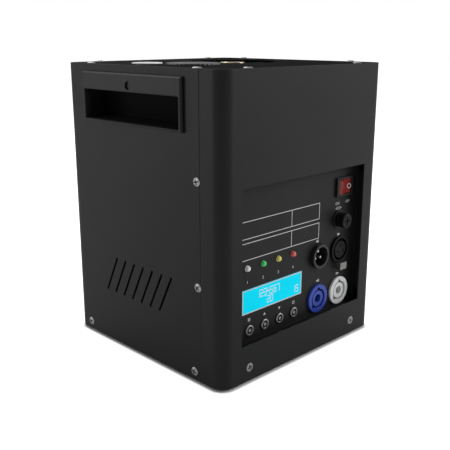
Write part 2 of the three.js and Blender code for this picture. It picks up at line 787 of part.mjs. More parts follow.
function fuseCapBack() {
  return 2 * gap + fuse.flangeDepth;
}

function fuseKnob() {
  const [x, z] = panelPoint(fuse);
  const back = fuseCapBack();
  const profile = [
    [0, back],
    [fuseCap.radius, back],
    [fuseCap.radius, fuseCap.proud - fuseCap.edge],
    [fuseCap.radius - fuseCap.edge, fuseCap.proud],
    [0, fuseCap.proud],
  ];
  const knob = revolve(profile, 20, "front", [x, panelY, z]);
  const l = fuseCap.slotLength / 2;
  const w = fuseCap.slot / 2;
  const y = [panelY - fuseCap.proud - overrun, panelY - fuseCap.proud + fuseCap.slotDepth];
  return cut(knob, box(x - l, x + l, ...y, z - w, z + w), box(x - w, x + w, ...y, z - l, z + l));
}

function glassFuse() {
  const [x, z] = panelPoint(fuse);
  const front = fuseCapBack() - gap;
  const end = front - fuseLink.length;
  const profile = [
    [0, end],
    [fuseLink.cap, end],
    [fuseLink.cap, end + fuseLink.capLength],
    [fuseLink.radius, end + fuseLink.capLength],
    [fuseLink.radius, front - fuseLink.capLength],
    [fuseLink.cap, front - fuseLink.capLength],
    [fuseLink.cap, front],
    [0, front],
  ];
  return revolve(profile, 12, "front", [x, panelY, z]);
}

add("fuse_holder", fuseHolder(), "#161618", 0.5, 0);
add("fuse_cap", fuseKnob(), "#141416", 0.45, 0);
add("fuse_link", glassFuse(), "#c0c4c8", 0.2, 0.5);

// Three-pin data sockets; contacts lie on a ring with one at the top
function contactPlaces(x, z) {
  return [0, 1, 2].map((i) => {
    const angle = quarter + (i * 4 * quarter) / 3;
    return [x + pin.ring * Math.cos(angle), z + pin.ring * Math.sin(angle)];
  });
}

function dataInlet() {
  const [x, z] = panelPoint(inlet);
  const floor = inlet.proud - inlet.depth;
  const back = floor - inlet.floor;
  const shell = revolve([
    [0, back],
    [inlet.body, back],
    [inlet.body, gap],
    [inlet.rim, gap],
    [inlet.rim, inlet.proud - gap],
    [inlet.rim - gap, inlet.proud],
    [inlet.cup, inlet.proud],
    [inlet.cup, floor],
    [0, floor],
  ], 20, "front", [x, panelY, z]);
  const pins = contactPlaces(x, z).map(([px, pz]) => {
    return rod(pin.radius, floor - inlet.floor / 2, floor + inlet.rimDepth, 10, "front", [px, panelY, pz]);
  });
  return join(shell, ...pins);
}

function dataOutlet() {
  const [x, z] = panelPoint(outlet);
  const floor = outlet.proud - outlet.depth;
  const back = floor - outlet.floor;
  const shell = revolve([
    [0, back],
    [outlet.body, back],
    [outlet.body, gap],
    [outlet.rim, gap],
    [outlet.rim, outlet.proud - gap],
    [outlet.rim - gap, outlet.proud],
    [outlet.groove, outlet.proud],
    [outlet.groove, floor],
    [outlet.insert, floor],
    [outlet.insert, outlet.proud - gap],
    [0, outlet.proud - gap],
  ], 20, "front", [x, panelY, z]);
  const holeLow = outlet.proud - contact.depth;
  const holes = contactPlaces(x, z).map(([px, pz]) => {
    return rod(contact.radius, holeLow, outlet.proud + overrun, 10, "front", [px, panelY, pz]);
  });
  return cut(shell, ...holes);
}

function releaseLatch() {
  const leg = latchLeg(0);
  const front = panelY - latch.proud;
  const w = latch.width / 2;
  const [x] = panelPoint(outlet);
  const tab = box(x - w, x + w, front, front + latch.thickness, leg.z0, leg.z0 + latch.height);
  const legFront = front + latch.thickness / 2;
  return join(tab, box(leg.x0, leg.x1, legFront, panelY + latch.legDepth, leg.z0, leg.z1));
}

// Round locking power sockets: a grooved core in a flanged body
function powerSocket(i) {
  const [x, z] = repeated(power, i);
  const front = gap + power.proud;
  const floor = front - powerFace.grooveDepth;
  const shell = revolve([
    [0, -power.depth],
    [power.body, -power.depth],
    [power.body, gap],
    [power.flange, gap],
    [power.flange, front - powerFace.edge],
    [power.flange - powerFace.edge, front],
    [powerFace.groove, front],
    [powerFace.groove, floor],
    [powerFace.core, floor],
    [powerFace.core, front - powerFace.edge],
    [powerFace.bore, front - powerFace.edge],
    [powerFace.bore, floor],
    [0, floor],
  ], 20, "front", [x, panelY, z]);
  const keys = [quarter, 2.45 * quarter].map((angle) => {
    const w = powerFace.keyWidth / 2;
    const reach = powerFace.groove + powerFace.key;
    const key = box(powerFace.core + gap, reach, -w, w, floor + gap, front + overrun);
    return key.rotateZ(angle).rotateX(quarter).translate(x, panelY, z);
  });
  return cut(shell, ...keys);
}

add("data_inlet", dataInlet(), "#1a1a1c", 0.45, 0.1);
add("data_outlet", dataOutlet(), "#1a1a1c", 0.45, 0.1);
add("release_latch", releaseLatch(), "#c8cacc", 0.3, 0.9);
add("power_inlet", powerSocket(0), "#3c5aa0", 0.4, 0);
add("power_outlet", powerSocket(1), "#c4c6c8", 0.4, 0);

// Nozzle: a spun dish under the hole in the top plate, with the barrel's mouth in its middle
function nozzleDish() {
  const topFace = ledgeTop;
  const t = dish.thickness;
  const low = dishLow + t;
  const steps = 4;
  const inner = [];
  const outer = [];
  for (let i = 0; i <= steps; i++) {
    const angle = (quarter * i) / steps;
    const spread = dish.mouth - dish.floor;
    const r = dish.mouth - spread * (1 - Math.cos(angle));
    const h = topFace - dish.depth * Math.sin(angle);
    inner.push([r, h]);
    outer.push([r + t * Math.cos(angle), h - t * Math.sin(angle)]);
  }
  const bowl = [
    [dish.throat, low - t],
    ...outer.reverse().slice(0, -1),
    [dish.mouth + t, topFace - t],
    [dish.flange, topFace - t],
    [dish.flange, topFace],
    ...inner,
    [dish.throat, low],
    [dish.throat, low - t],
  ];
  return revolve(bowl, 28, "up", [top.dishX, top.dishY, 0]);
}

// Steel barrel: its foot flange stands on the deck, the feed enters from the side
function nozzleTube() {
  const low = deck.z + deck.thickness + gap;
  const high = bodyHeight - barrel.below;
  const wall = ring(barrel.radius, barrel.bore, low, high, 20, "up", [top.dishX, top.dishY, 0]);
  const flangeTop = low + chamberFoot.flangeDepth;
  const flange = ring(chamberFoot.flange, barrel.bore, low, flangeTop, 20, "up", [top.dishX, top.dishY, 0]);
  const port = rod(feed.bore, -barrel.radius - overrun, 0, 14, "right", [top.dishX, top.dishY, feedZ]);
  return cut(join(wall, flange), port);
}

// Band heater with a clamp block on its split
function heaterBand() {
  const inner = barrel.radius + gap;
  const outer = inner + heater.wall;
  const band = ring(outer, inner, heaterLow, heaterHigh, 20, "up", [top.dishX, top.dishY, 0]);
  const y = top.dishY + inner;
  const w = heater.clampWidth / 2;
  const middle = (heaterLow + heaterHigh) / 2;
  const clampEnd = y + heater.wall + heater.clamp;
  const block = box(top.dishX - w, top.dishX + w, y + heater.wall / 2, clampEnd, middle - w, middle + w);
  return join(band, block);
}

function heatJacket() {
  const inner = barrel.radius + 2 * gap + heater.wall;
  const r = jacket.radius;
  const b = jacket.bevel;
  const profile = [
    [barrel.radius + gap, jacketLow],
    [r - b, jacketLow],
    [r, jacketLow + b],
    [r, jacketHigh - b],
    [r - b, jacketHigh],
    [inner, jacketHigh],
    [inner, heaterLow - gap],
    [barrel.radius + gap, heaterLow - gap],
    [barrel.radius + gap, jacketLow],
  ];
  const sleeve = revolve(profile, 16, "up", [top.dishX, top.dishY, 0]);
  const w = heater.clampWidth / 2 + gap;
  const y = top.dishY + barrel.radius;
  return cut(sleeve, box(top.dishX - w, top.dishX + w, y, y + r, heaterLow - gap, jacketHigh + overrun));
}

add("nozzle_dish", nozzleDish(), "#8c8e92", 0.35, 0.9);
add("nozzle_tube", nozzleTube(), "#b4b6ba", 0.3, 0.95);
add("heater_band", heaterBand(), "#9a9488", 0.4, 0.8);
add("heat_jacket", heatJacket(), "#d8d4c8", 0.9, 0);

// Filler: cap with a fluted edge, its seal, and the hopper whose neck comes up through the top plate
function fillerCap() {
  const underside = bodyHeight + gap;
  const high = bodyHeight + cap.proud + gap;
  const shape = new THREE.Shape();
  const points = [];
  for (let i = 0; i < 2 * cap.flutes; i++) {
    const angle = (2 * quarter * i) / cap.flutes;
    const r = cap.radius - (i % 2) * cap.fluteDepth;
    points.push(new THREE.Vector2(capX + r * Math.cos(angle), top.capY + r * Math.sin(angle)));
  }
  shape.setFromPoints(points);
  const lid = slab("xy", shape, underside, high);
  return join(lid, rod(cap.plug, bodyHeight - cap.plugDepth, high - gap, 16, "up", [capX, top.capY, 0]));
}

function fillerGasket() {
  const inner = cap.plug + gap;
  return ring(neck.radius, inner, bodyHeight - gasket.thickness, bodyHeight, 16, "up", [capX, top.capY, 0]);
}

function fourSided(x0, x1, y0, y1, z) {
  return [[x0, y0, z], [x1, y0, z], [x1, y1, z], [x0, y1, z]];
}

function outletX() {
  return feedTubeStart() + feed.inlet;
}

function funnel(inset, low, lidZ) {
  const r = hopperOutlet.radius - inset / 2;
  const { front, back } = hopper;
  const left = -half + pocket.depth + pocket.wall + hopper.wallGap;
  const right = left + hopper.width;
  const shoulder = hopperTop - hopper.side;
  const x = outletX();
  const y = top.dishY;
  return loft([
    fourSided(x - r, x + r, y - r, y + r, low),
    fourSided(left + inset, right - inset, front + inset, back - inset, shoulder),
    fourSided(left + inset, right - inset, front + inset, back - inset, lidZ),
  ]);
}

function hopperBody() {
  const outletLow = feedZ + feed.tube + gap;
  const funnelLow = outletLow + hopperOutlet.spigot;
  const w = hopper.wall;
  const outer = join(
    funnel(0, funnelLow, hopperTop),
    rod(neck.radius, hopperTop - w, bodyHeight - gasket.thickness - gap, 24, "up", [capX, top.capY, 0]),
  );
  const bore = neck.radius - neck.wall;
  const spigot = box(
    outletX() - hopperOutlet.radius, outletX() + hopperOutlet.radius,
    top.dishY - hopperOutlet.radius, top.dishY + hopperOutlet.radius,
    outletLow, funnelLow + overrun,
  );
  const r = hopperOutlet.radius - hopperOutlet.wall;
  return cut(
    join(outer, spigot),
    funnel(w, funnelLow, hopperTop - w),
    rod(bore, hopperTop - w - overrun, bodyHeight, 24, "up", [capX, top.capY, 0]),
    box(
      outletX() - r, outletX() + r, top.dishY - r, top.dishY + r,
      outletLow - overrun, funnelLow + overrun,
    ),
  );
}

function tagWindow() {
  const low = bodyHeight - sheet - tagBoard.spacer / 2;
  const profile = [
    [0, low],
    [tag.plug, low],
    [tag.plug, bodyHeight + gap],
    [tag.radius, bodyHeight + gap],
    [tag.radius, bodyHeight + tag.proud - tag.edge],
    [tag.radius - tag.edge, bodyHeight + tag.proud],
    [0, bodyHeight + tag.proud],
  ];
  return revolve(profile, 20, "up", [tagX, top.tagY, 0]);
}

// Reader board hung on two pillars under the top plate
function tagReader() {
  const h = tagBoard.size / 2;
  const high = bodyHeight - sheet - tagBoard.drop;
  const low = high - board.thickness;
  const [x, y] = [tagX, top.tagY];
  const c = tagBoard.chip / 2;
  const plate = box(x - h, x + h, y - h, y + h, low, high);
  const chip = box(x - c, x + c, y - c, y + c, low - tagBoard.chipDepth, low + board.thickness / 2);
  const pillars = [-1, 1].map((side) => {
    const reach = h - tagBoard.edge / 2;
    const at = [x + side * reach, y + side * reach, 0];
    return rod(tagBoard.edge / 2, low, bodyHeight - sheet - gap, 10, "up", at);
  });
  return join(plate, chip, ...pillars);
}

add("filler_cap", fillerCap(), "#3a3a3c", 0.5, 0.2);
add("filler_gasket", fillerGasket(), "#202020", 0.9, 0);
add("hopper", hopperBody(), "#c8c4b8", 0.5, 0);
add("tag_window", tagWindow(), "#f0f0f0", 0.4, 0);
add("tag_reader_board", tagReader(), "#1f5a34", 0.6, 0);

// Deck: a folded plate fixed to the side walls, it carries the barrel, the feed and the blower
function middleDeck() {
  const high = deck.z + deck.thickness;
  const y0 = panelY + fuse.depth + deck.fuseGap;
  const y1 = liner - fan.depth - gap;
  const low = high - deck.flange;
  const plate = join(
    box(-liner, liner, y0, y1, deck.z, high),
    box(-liner, -liner + deck.thickness, y0, y1, low, high),
    box(liner - deck.thickness, liner, y0, y1, low, high),
  );
  const passage = rod(barrel.bore, deck.z - overrun, high + overrun, 24, "up", [top.dishX, top.dishY, 0]);
  return cut(plate, passage);
}

function feedStart() {
  return -liner + motor.length + motor.bossDepth;
}

function feedTubeStart() {
  return feedStart() + 2 * gap + mountPlate.thickness;
}

// Feed tube: its flange stands on the motor plate and its far end meets the barrel
function feedTube() {
  const x0 = feedTubeStart();
  const x1 = top.dishX - barrel.radius - gap;
  const origin = [0, top.dishY, feedZ];
  const tube = join(
    rod(feed.tube, x0, x1, 16, "right", origin),
    rod(feed.flange, x0, x0 + feed.flangeDepth, 16, "right", origin),
  );
  const r = hopperOutlet.radius - hopperOutlet.wall;
  const x = outletX();
  return cut(
    tube,
    rod(feed.bore, x0 - overrun, x1 + overrun, 16, "right", origin),
    box(x - r, x + r, top.dishY - r, top.dishY + r, feedZ, feedZ + feed.tube + overrun),
  );
}

// Feed screw: one helical flight on its shaft, as one closed strip of cross-sections
function helixFlight(x0, x1) {
  const steps = 8;
  const count = Math.round(((x1 - x0) / screw.pitch) * steps);
  const rings = [];
  const w = screw.width / 2;
  for (let i = 0; i <= count; i++) {
    const angle = (4 * quarter * i) / steps;
    const x = x0 + w + ((x1 - x0 - 2 * w) * i) / count;
    const c = Math.cos(angle);
    const s = Math.sin(angle);
    const root = screw.shaft / 2;
    rings.push([
      [x - w, root * c, root * s],
      [x + w, root * c, root * s],
      [x + w / 2, screw.flight * c, screw.flight * s],
      [x - w / 2, screw.flight * c, screw.flight * s],
    ]);
  }
  return loft(rings).translate(0, top.dishY, feedZ);
}

function feedScrew() {
  const x0 = feedTubeStart() + gap;
  const x1 = top.dishX - barrel.radius - 2 * gap;
  const start = feedStart() + gap;
  const shaft = rod(screw.shaft, start, x1, 10, "right", [0, top.dishY, feedZ]);
  return join(shaft, helixFlight(x0 + screw.width, x1));
}

function feedMotor() {
  const h = motor.side / 2;
  const y = top.dishY;
  const shape = roundedBox(y - h, y + h, feedZ - h, feedZ + h, motor.corner);
  const can = slab("yz", shape, -liner, -liner + motor.length, 2);
  return join(can, rod(motor.boss, -liner, feedStart(), 20, "right", [0, y, feedZ]));
}

// Motor plate: a folded foot on the deck and a face that carries motor and feed tube
function feedBracket() {
  const x0 = feedStart() + gap;
  const x1 = x0 + mountPlate.thickness;
  const low = deck.z + deck.thickness + gap;
  const y0 = top.dishY - motor.side / 2 - mountPlate.margin;
  const y1 = top.dishY + motor.side / 2 + mountPlate.margin;
  const g = mountPlate.gusset;
  const rib = outline([[x1, low], [x1 + g, low], [x1, low + g]]);
  const plate = join(
    box(x0, x1, y0, y1, low, feedZ + motor.side / 2),
    box(x0, x1 + mountPlate.foot, y0, y1, low, low + mountPlate.thickness),
    slab("xz", rib, y0, y0 + mountPlate.thickness),
    slab("xz", rib, y1 - mountPlate.thickness, y1),
  );
  return cut(plate, rod(screw.shaft + gap, x0 - overrun, x1 + overrun, 12, "right", [0, top.dishY, feedZ]));
}

add("mid_deck", middleDeck(), "#9a9ca0", 0.5, 0.7);
add("feed_tube", feedTube(), "#b4b6ba", 0.35, 0.9);
add("feed_screw", feedScrew(), "#b0b2b6", 0.3, 0.9);
add("feed_motor", feedMotor(), "#2c2c2e", 0.5, 0.5);
add("feed_bracket", feedBracket(), "#9a9ca0", 0.5, 0.7);

// Blower: a scroll housing that blows up through the deck into the barrel
function scrollPoints(clear) {
  const points = [];
  const steps = 20;
  for (let i = 0; i <= steps; i++) {
    const share = i / steps;
    const angle = -3 * quarter * share;
    const r = blower.scroll - blower.growth + blower.growth * share - clear;
    points.push([blowerX() + r * Math.cos(angle), blowerZ + r * Math.sin(angle)]);
  }
  return points;
}

function blowerX() {
  return top.dishX + blowerDuct.halfWidth - blower.scroll + blower.growth;
}

function blowerShape(clear, ductTop) {
  const points = scrollPoints(clear);
  const right = points[0][0];
  const left = top.dishX - blowerDuct.halfWidth + clear;
  const crown = points[points.length - 1];
  const duct = [[left, crown[1]], [left, ductTop], [right, ductTop]];
  return outline([...points, ...duct]).getPoints();
}

function blowerHousing() {
  const y0 = top.dishY - blower.depth / 2;
  const y1 = top.dishY + blower.depth / 2;
  const w = blower.wall;
  const high = deck.z - gap;
  const outer = new THREE.Shape(blowerShape(0, high));
  const inner = new THREE.Shape(blowerShape(w, high + overrun));
  const shell = slab("xz", outer, y0, y1);
  const f = blowerDuct.flange;
  const x = blowerDuct.halfWidth;
  const flange = box(
    top.dishX - x - f, top.dishX + x + f, y0 - f, y1 + f, high - blowerDuct.flangeDepth, high,
  );
  return cut(
    join(shell, flange),
    slab("xz", inner, y0 + w, y1 - w),
    rod(blower.eye, y0 - overrun, y0 + w + overrun, 24, "back", [blowerX(), 0, blowerZ]),
    rod(blowerMotor.shaft + gap, y1 - w - overrun, y1 + overrun, 12, "back", [blowerX(), 0, blowerZ]),
  );
}

// Blower wheel: a back plate with straight blades and a shaft bush
function blowerWheel() {
  const y0 = top.dishY - blower.depth / 2 + 2 * blower.wall;
  const y1 = top.dishY + blower.depth / 2 - 2 * blower.wall;
  const origin = [blowerX(), 0, blowerZ];
  const solids = [rod(blower.hub, y0 + blower.wall, y1, 16, "back", origin)];
  for (let i = 0; i < blower.blades; i++) {
    const angle = (4 * quarter * i) / blower.blades;
    const b = blower.blade / 2;
    const vane = box(blower.hub / 2, blower.wheel - blower.blade, y0, y1 - blower.wall / 2, -b, b);
    solids.push(vane.rotateY(angle).translate(...origin));
  }
  return join(rod(blower.wheel, y1 - blower.wall, y1, 20, "back", origin), ...solids);
}

function blowerMotorBody() {
  const y = top.dishY + blower.depth / 2 + gap;
  const end = y + blowerMotor.length;
  const r = blowerMotor.radius;
  const b = blowerMotor.bevel;
  const shaftEnd = top.dishY + blower.depth / 2 - 2 * blower.wall + gap;
  const profile = [
    [0, shaftEnd],
    [blowerMotor.shaft, shaftEnd],
    [blowerMotor.shaft, y],
    [r, y],
    [r, end - b],
    [r - b, end],
    [0, end],
  ];
  return revolve(profile, 16, "back", [blowerX(), 0, blowerZ]);
}

add("blower_housing", blowerHousing(), "#1c1c1e", 0.5, 0);
add("blower_impeller", blowerWheel(), "#26262a", 0.5, 0);
add("blower_motor", blowerMotorBody(), "#6a6c70", 0.45, 0.7);

// Cooling fan against the rear wall
function fanFrame() {
  const y1 = liner;
  const y0 = y1 - fan.depth;
  const h = fan.side / 2;
  const origin = [0, 0, fan.z];
  const block = slab("xz", roundedBox(-h, h, fan.z - h, fan.z + h, fan.strut), y0, y1, 2);
  const bored = cut(block, rod(fan.bore, y0 - overrun, y1 + overrun, 28, "back", origin));
  const arm = fan.strut / 2;
  const arms = [0, 1].map((i) => {
    const bar = box(-fan.bore - arm, fan.bore + arm, y0, y0 + fan.strut / 2, -arm, arm);
    return bar.rotateY(quarter / 2 + i * quarter).translate(...origin);
  });
  return join(bored, ...arms, rod(fan.hub, y0, y0 + fan.strut / 2, 20, "back", origin));
}

function fanRotor() {
  const y0 = liner - fan.depth + fan.strut / 2 + gap;
  const y1 = y0 + fan.rotorDepth;
  const origin = [0, 0, fan.z];
  const solids = [];
  for (let i = 0; i < fan.blades; i++) {
    const angle = (4 * quarter * i) / fan.blades;
    const chord = fan.rotorDepth - 2 * fan.strut;
    const blade = box(fan.hub - fan.blade, fan.rotor, -chord / 2, chord / 2, -fan.blade / 2, fan.blade / 2);
    blade.rotateX(quarter / 2).translate(0, (y0 + y1) / 2, 0);
    solids.push(blade.rotateY(angle).translate(...origin));
  }
  return join(rod(fan.hub, y0, y1, 24, "back", origin), ...solids);
}

add("cooling_fan_frame", fanFrame(), "#161618", 0.5, 0);
add("cooling_fan_rotor", fanRotor(), "#1a1a1c", 0.45, 0);

// Electronics
function powerSupply() {
  const low = sheet + gap;
  const e = supply.edge;
  const left = -liner + supply.side;
  const right = left + supply.width;
  const front = -half + supply.front;
  const back = liner - supply.back;
  const chassis = loft([
    fourSided(left, right, front, back, low),
    fourSided(left, right, front, back, low + supply.height - e),
    fourSided(left + e, right - e, front + e, back - e, low + supply.height),
  ]);
  const strip = box(
    left + e, right - e, front - supply.terminal, front + e, low, low + supply.terminalHeight,
  );
  return join(chassis, strip);
}

function heaterDriver() {
  const low = sheet + gap;
  const deckLow = low + driver.postHeight;
  const high = deckLow + board.thickness;
  const { inset } = driver;
  const right = liner - driver.side;
  const left = right - driver.width;
  const front = -half + driver.front;
  const back = liner - driver.back;
  const solids = [];
  for (const x of [left + inset, right - inset]) {
    for (const y of [front + inset, back - inset]) {
      solids.push(rod(driver.post, low, high - board.thickness / 2, 10, "up", [x, y, 0]));
    }
  }
  const middle = (left + right) / 2;
  const x0 = middle - driver.sink / 2;
  const y0 = front + 2 * inset;
  const y1 = y0 + driver.sink * 2;
  const root = high - board.thickness / 2;
  solids.push(box(x0, x0 + driver.sink, y0, y1, root, high + sinkFin.floor));
  for (let i = 0; i < sinkFin.count; i++) {
    const x = x0 + ((driver.sink - sinkFin.thickness) * i) / (sinkFin.count - 1);
    solids.push(box(x, x + sinkFin.thickness, y0, y1, root, high + driver.sinkHeight));
  }
  return join(box(left, right, front, back, deckLow, high), ...solids);
}

function tiltSwitch() {
  const low = deck.z + deck.thickness + gap;
  const h = tilt.size / 2;
  const x = liner - tilt.side;
  const y = liner - fan.depth - tilt.fanGap;
  const plate = box(x - h, x + h, y - h, y + h, low, low + board.thickness);
  const can = rod(tilt.can, low + board.thickness / 2, low + tilt.height, 14, "up", [x, y, 0]);
  return join(plate, can);
}

add("power_supply", powerSupply(), "#b0b2b6", 0.45, 0.8);
add("heater_driver_board", heaterDriver(), "#1f5a34", 0.6, 0);
add("tilt_switch", tiltSwitch(), "#1f5a34", 0.6, 0);

export default parts;
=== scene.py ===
import json
import math

import bmesh
import bpy
from mathutils import Matrix, Vector


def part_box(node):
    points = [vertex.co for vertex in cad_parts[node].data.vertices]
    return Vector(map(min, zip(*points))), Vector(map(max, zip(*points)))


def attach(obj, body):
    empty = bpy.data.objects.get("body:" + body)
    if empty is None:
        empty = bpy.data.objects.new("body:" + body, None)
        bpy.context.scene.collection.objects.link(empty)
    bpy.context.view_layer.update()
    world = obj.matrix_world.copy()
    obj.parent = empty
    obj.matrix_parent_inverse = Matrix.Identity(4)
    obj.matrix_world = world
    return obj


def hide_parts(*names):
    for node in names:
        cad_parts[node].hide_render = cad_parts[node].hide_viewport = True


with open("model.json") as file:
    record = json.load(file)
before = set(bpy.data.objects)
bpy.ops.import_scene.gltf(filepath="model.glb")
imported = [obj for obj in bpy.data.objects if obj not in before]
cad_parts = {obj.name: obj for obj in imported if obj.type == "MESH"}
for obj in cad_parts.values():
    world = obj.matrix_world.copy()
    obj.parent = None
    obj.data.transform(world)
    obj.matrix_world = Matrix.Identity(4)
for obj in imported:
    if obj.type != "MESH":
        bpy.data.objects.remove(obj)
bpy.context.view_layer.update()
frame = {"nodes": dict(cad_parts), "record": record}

MM = 0.001
NODES = frame["nodes"]
BODIES = frame["record"]["behaviour"]["bodies"]
BODY_OF = {node: body for body, nodes in BODIES.items() for node in nodes}
SLOT_OF = {row["node"]: row["material_slot"] for row in frame["record"]["subparts"]}


def low_of(node):
    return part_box(node)[0]


def high_of(node):
    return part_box(node)[1]


def centre_of(node):
    low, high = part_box(node)
    return (low + high) / 2


def new_object(name, data):
    """A new object, linked to the scene."""
    thing = bpy.data.objects.new(name, data)
    bpy.context.scene.collection.objects.link(thing)
    return thing


# Places on the case, in metres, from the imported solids
TRAY_LIP = 2.6 * MM
PANEL_Y = low_of("control_tray").y + TRAY_LIP
FRONT_Y = low_of("front_shell").y
SEAM_Y = low_of("rear_shell").y
REAR_Y = high_of("rear_shell").y
SIDE_X = high_of("rear_shell").x
CASE_FOOT = low_of("front_shell").z
CASE_TOP = high_of("front_shell").z


# Camera: the photograph's angle, from the silhouette's edges. Lens and sensor in millimetres.
CAMERA_AZIMUTH = math.radians(-44.45)
CAMERA_ELEVATION = math.radians(15.15)
CAMERA_PLACE = Vector((-430.7, -439.9, 264.1)) * MM
CAMERA_LENS = 56.0
SENSOR_WIDTH = 36.0


def make_camera():
    data = bpy.data.cameras.new("camera")
    data.lens = CAMERA_LENS
    data.sensor_width = SENSOR_WIDTH
    camera = new_object("camera", data)
    flat = math.cos(CAMERA_ELEVATION)
    back = Vector((
        math.sin(CAMERA_AZIMUTH) * flat,
        -math.cos(CAMERA_AZIMUTH) * flat,
        math.sin(CAMERA_ELEVATION),
    ))
    right = Vector((math.cos(CAMERA_AZIMUTH), math.sin(CAMERA_AZIMUTH), 0))
    turn = Matrix((right, back.cross(right), back)).transposed()
    camera.matrix_world = Matrix.Translation(CAMERA_PLACE) @ turn.to_4x4()
    bpy.context.scene.camera = camera


make_camera()


# The Mix node's sockets when it mixes colours
MIX_FACTOR, MIX_FIRST, MIX_SECOND, MIX_RESULT = 0, 6, 7, 2


class Wire:
    """A socket in a node tree. Sums and products of wires add the Math nodes they need."""

    def __init__(self, tree, socket=None):
        self.tree = tree
        self.socket = socket

    def make(self, kind, sockets=None, output=0, **settings):
        """Any other node: its type, the values or wires of its sockets, and its settings."""
        node = self.tree.nodes.new(kind)
        for name, value in settings.items():
            setattr(node, name, value)
        for name, value in (sockets or {}).items():
            self.feed(node.inputs[name], value)
        return Wire(self.tree, node.outputs[output])

    def feed(self, socket, value):
        if isinstance(value, Wire):
            self.tree.links.new(value.socket, socket)
        else:
            socket.default_value = value

    def math(self, operation, first, second=0.0):
        return self.make("ShaderNodeMath", {0: first, 1: second}, operation=operation)

    def __add__(self, other):
        return self.math("ADD", self, other)

    def __radd__(self, other):
        return self.math("ADD", other, self)

    def __sub__(self, other):
        return self.math("SUBTRACT", self, other)

    def __rsub__(self, other):
        return self.math("SUBTRACT", other, self)

    def __mul__(self, other):
        return self.math("MULTIPLY", self, other)

    def __rmul__(self, other):
        return self.math("MULTIPLY", other, self)

    def ramp(self, *stops):
        """Grey levels from stops of (place, level)."""
        wire = self.make("ShaderNodeValToRGB", {"Fac": self})
        elements = wire.socket.node.color_ramp.elements
        while len(elements) > 1:
            elements.remove(elements[-1])
        for i, (place, level) in enumerate(stops):
            stop = elements[0] if i == 0 else elements.new(place)
            stop.position = place
            stop.color = (level, level, level, 1)
        return wire

    def span(self, low, high, top=1.0):
        """Runs from 0 to a top value as this wire goes from low to high, and stays there beyond."""
        sockets = {"Value": self, "From Min": low, "From Max": high, "To Max": top}
        return self.make("ShaderNodeMapRange", sockets)

    def mix(self, first, second):
        """Runs from one colour, or wire of colours, to another as this wire goes from 0 to 1."""
        one, two = [c if isinstance(c, Wire) else (*c, 1) for c in (first, second)]
        sockets = {MIX_FACTOR: self, MIX_FIRST: one, MIX_SECOND: two}
        return self.make("ShaderNodeMix", sockets, MIX_RESULT, data_type="RGBA")


class Finish(Wire):
    """A material with a Principled shader, and the patterns that its surface is made from."""

    def __init__(self, name, colour, roughness, metallic=0.0, specular=0.5):
        self.material = bpy.data.materials.new(name)
        self.material.use_nodes = True
        super().__init__(self.material.node_tree)
        self.shader = self.tree.nodes["Principled BSDF"]
        self.put("Base Color", (*colour, 1))
        self.put("Roughness", roughness)
        self.put("Metallic", metallic)
        self.put("Specular IOR Level", specular)
        self.place = self.make("ShaderNodeTexCoord", output="Object")

    def put(self, socket, value):
        self.feed(self.shader.inputs[socket], value)

    def axis(self, index):
        """The place along X, Y or Z, numbered 0, 1 and 2."""
        return self.make("ShaderNodeSeparateXYZ", {"Vector": self.place}, index)

    def noise(self, scale, detail=2.0, roughness=0.5, stretch=None):
        place = self.place
        if stretch:
            place = self.make("ShaderNodeMapping", {"Vector": place, "Scale": stretch})
        sockets = {"Vector": place, "Scale": scale, "Detail": detail, "Roughness": roughness}
        return self.make("ShaderNodeTexNoise", sockets)

    def cells(self, scale):
        return self.make("ShaderNodeTexVoronoi", {"Vector": self.place, "Scale": scale})

    def glow(self, tone, strength):
        self.put("Emission Color", tone)
        self.put("Emission Strength", strength)

    def done(self, tone, roughness, pattern=None, depth=0.0, strength=0.0):
        """Gives the material its colour, its roughness and a bump whose depth is in millimetres."""
        self.put("Base Color", tone)
        self.put("Roughness", roughness)
        if pattern:
            sockets = {"Height": pattern, "Distance": depth * MM, "Strength": strength}
            self.put("Normal", self.make("ShaderNodeBump", sockets))
        return self.material


# Finishes. A pattern's scale is in repeats per metre, and the number beside a pattern is its share
# of the tone or of the roughness.
def scaled(colour, share):
    return tuple(c * share for c in colour)


def shades(colour, spread):
    """A darker and a lighter shade of a colour."""
    return scaled(colour, 1 - spread), scaled(colour, 1 + spread)


def powder_coat(name, colour, roughness, specular):
    """Fine powder coat: a pebbled skin with faint dust and rubbed patches."""
    f = Finish(name, colour, roughness, specular=specular)
    pebble = f.noise(1900, detail=3, roughness=0.6)
    wear = f.noise(28, detail=4, roughness=0.6).ramp((0.45, 0), (0.72, 1))
    fleck = f.cells(1500).ramp((0.0, 1), (0.08, 0))
    tone = (pebble * 0.5 + wear * 0.35 + fleck * 0.25).mix(*shades(colour, 0.3))
    dull = roughness - 0.05 + pebble * 0.08 + wear * 0.05
    return f.done(tone, dull, pebble + 0.4 * f.noise(420), depth=0.05, strength=0.5)


MOULD_GRAIN = 2600


def moulded(name, colour, roughness, specular, grain=MOULD_GRAIN):
    """Moulded plastic with a spark-eroded grain and slight flow marks."""
    f = Finish(name, colour, roughness, specular=specular)
    grit = f.cells(grain)
    flow = f.noise(60, detail=3, stretch=(1, 1, 4))
    tone = (grit * 0.3 + flow * 0.7).mix(*shades(colour, 0.18))
    return f.done(tone, roughness - 0.04 + flow * 0.09, grit, depth=0.04, strength=0.45)


# A handle's pocket gets painted shade between these two distances from the case's middle, in metres
POCKET_SHADE_FULL, POCKET_SHADE_END = 0.0935, 0.0975
POCKET_SHADE_SHARE = 0.05
POCKET_ROUGHNESS, RIM_ROUGHNESS = 0.95, 0.46


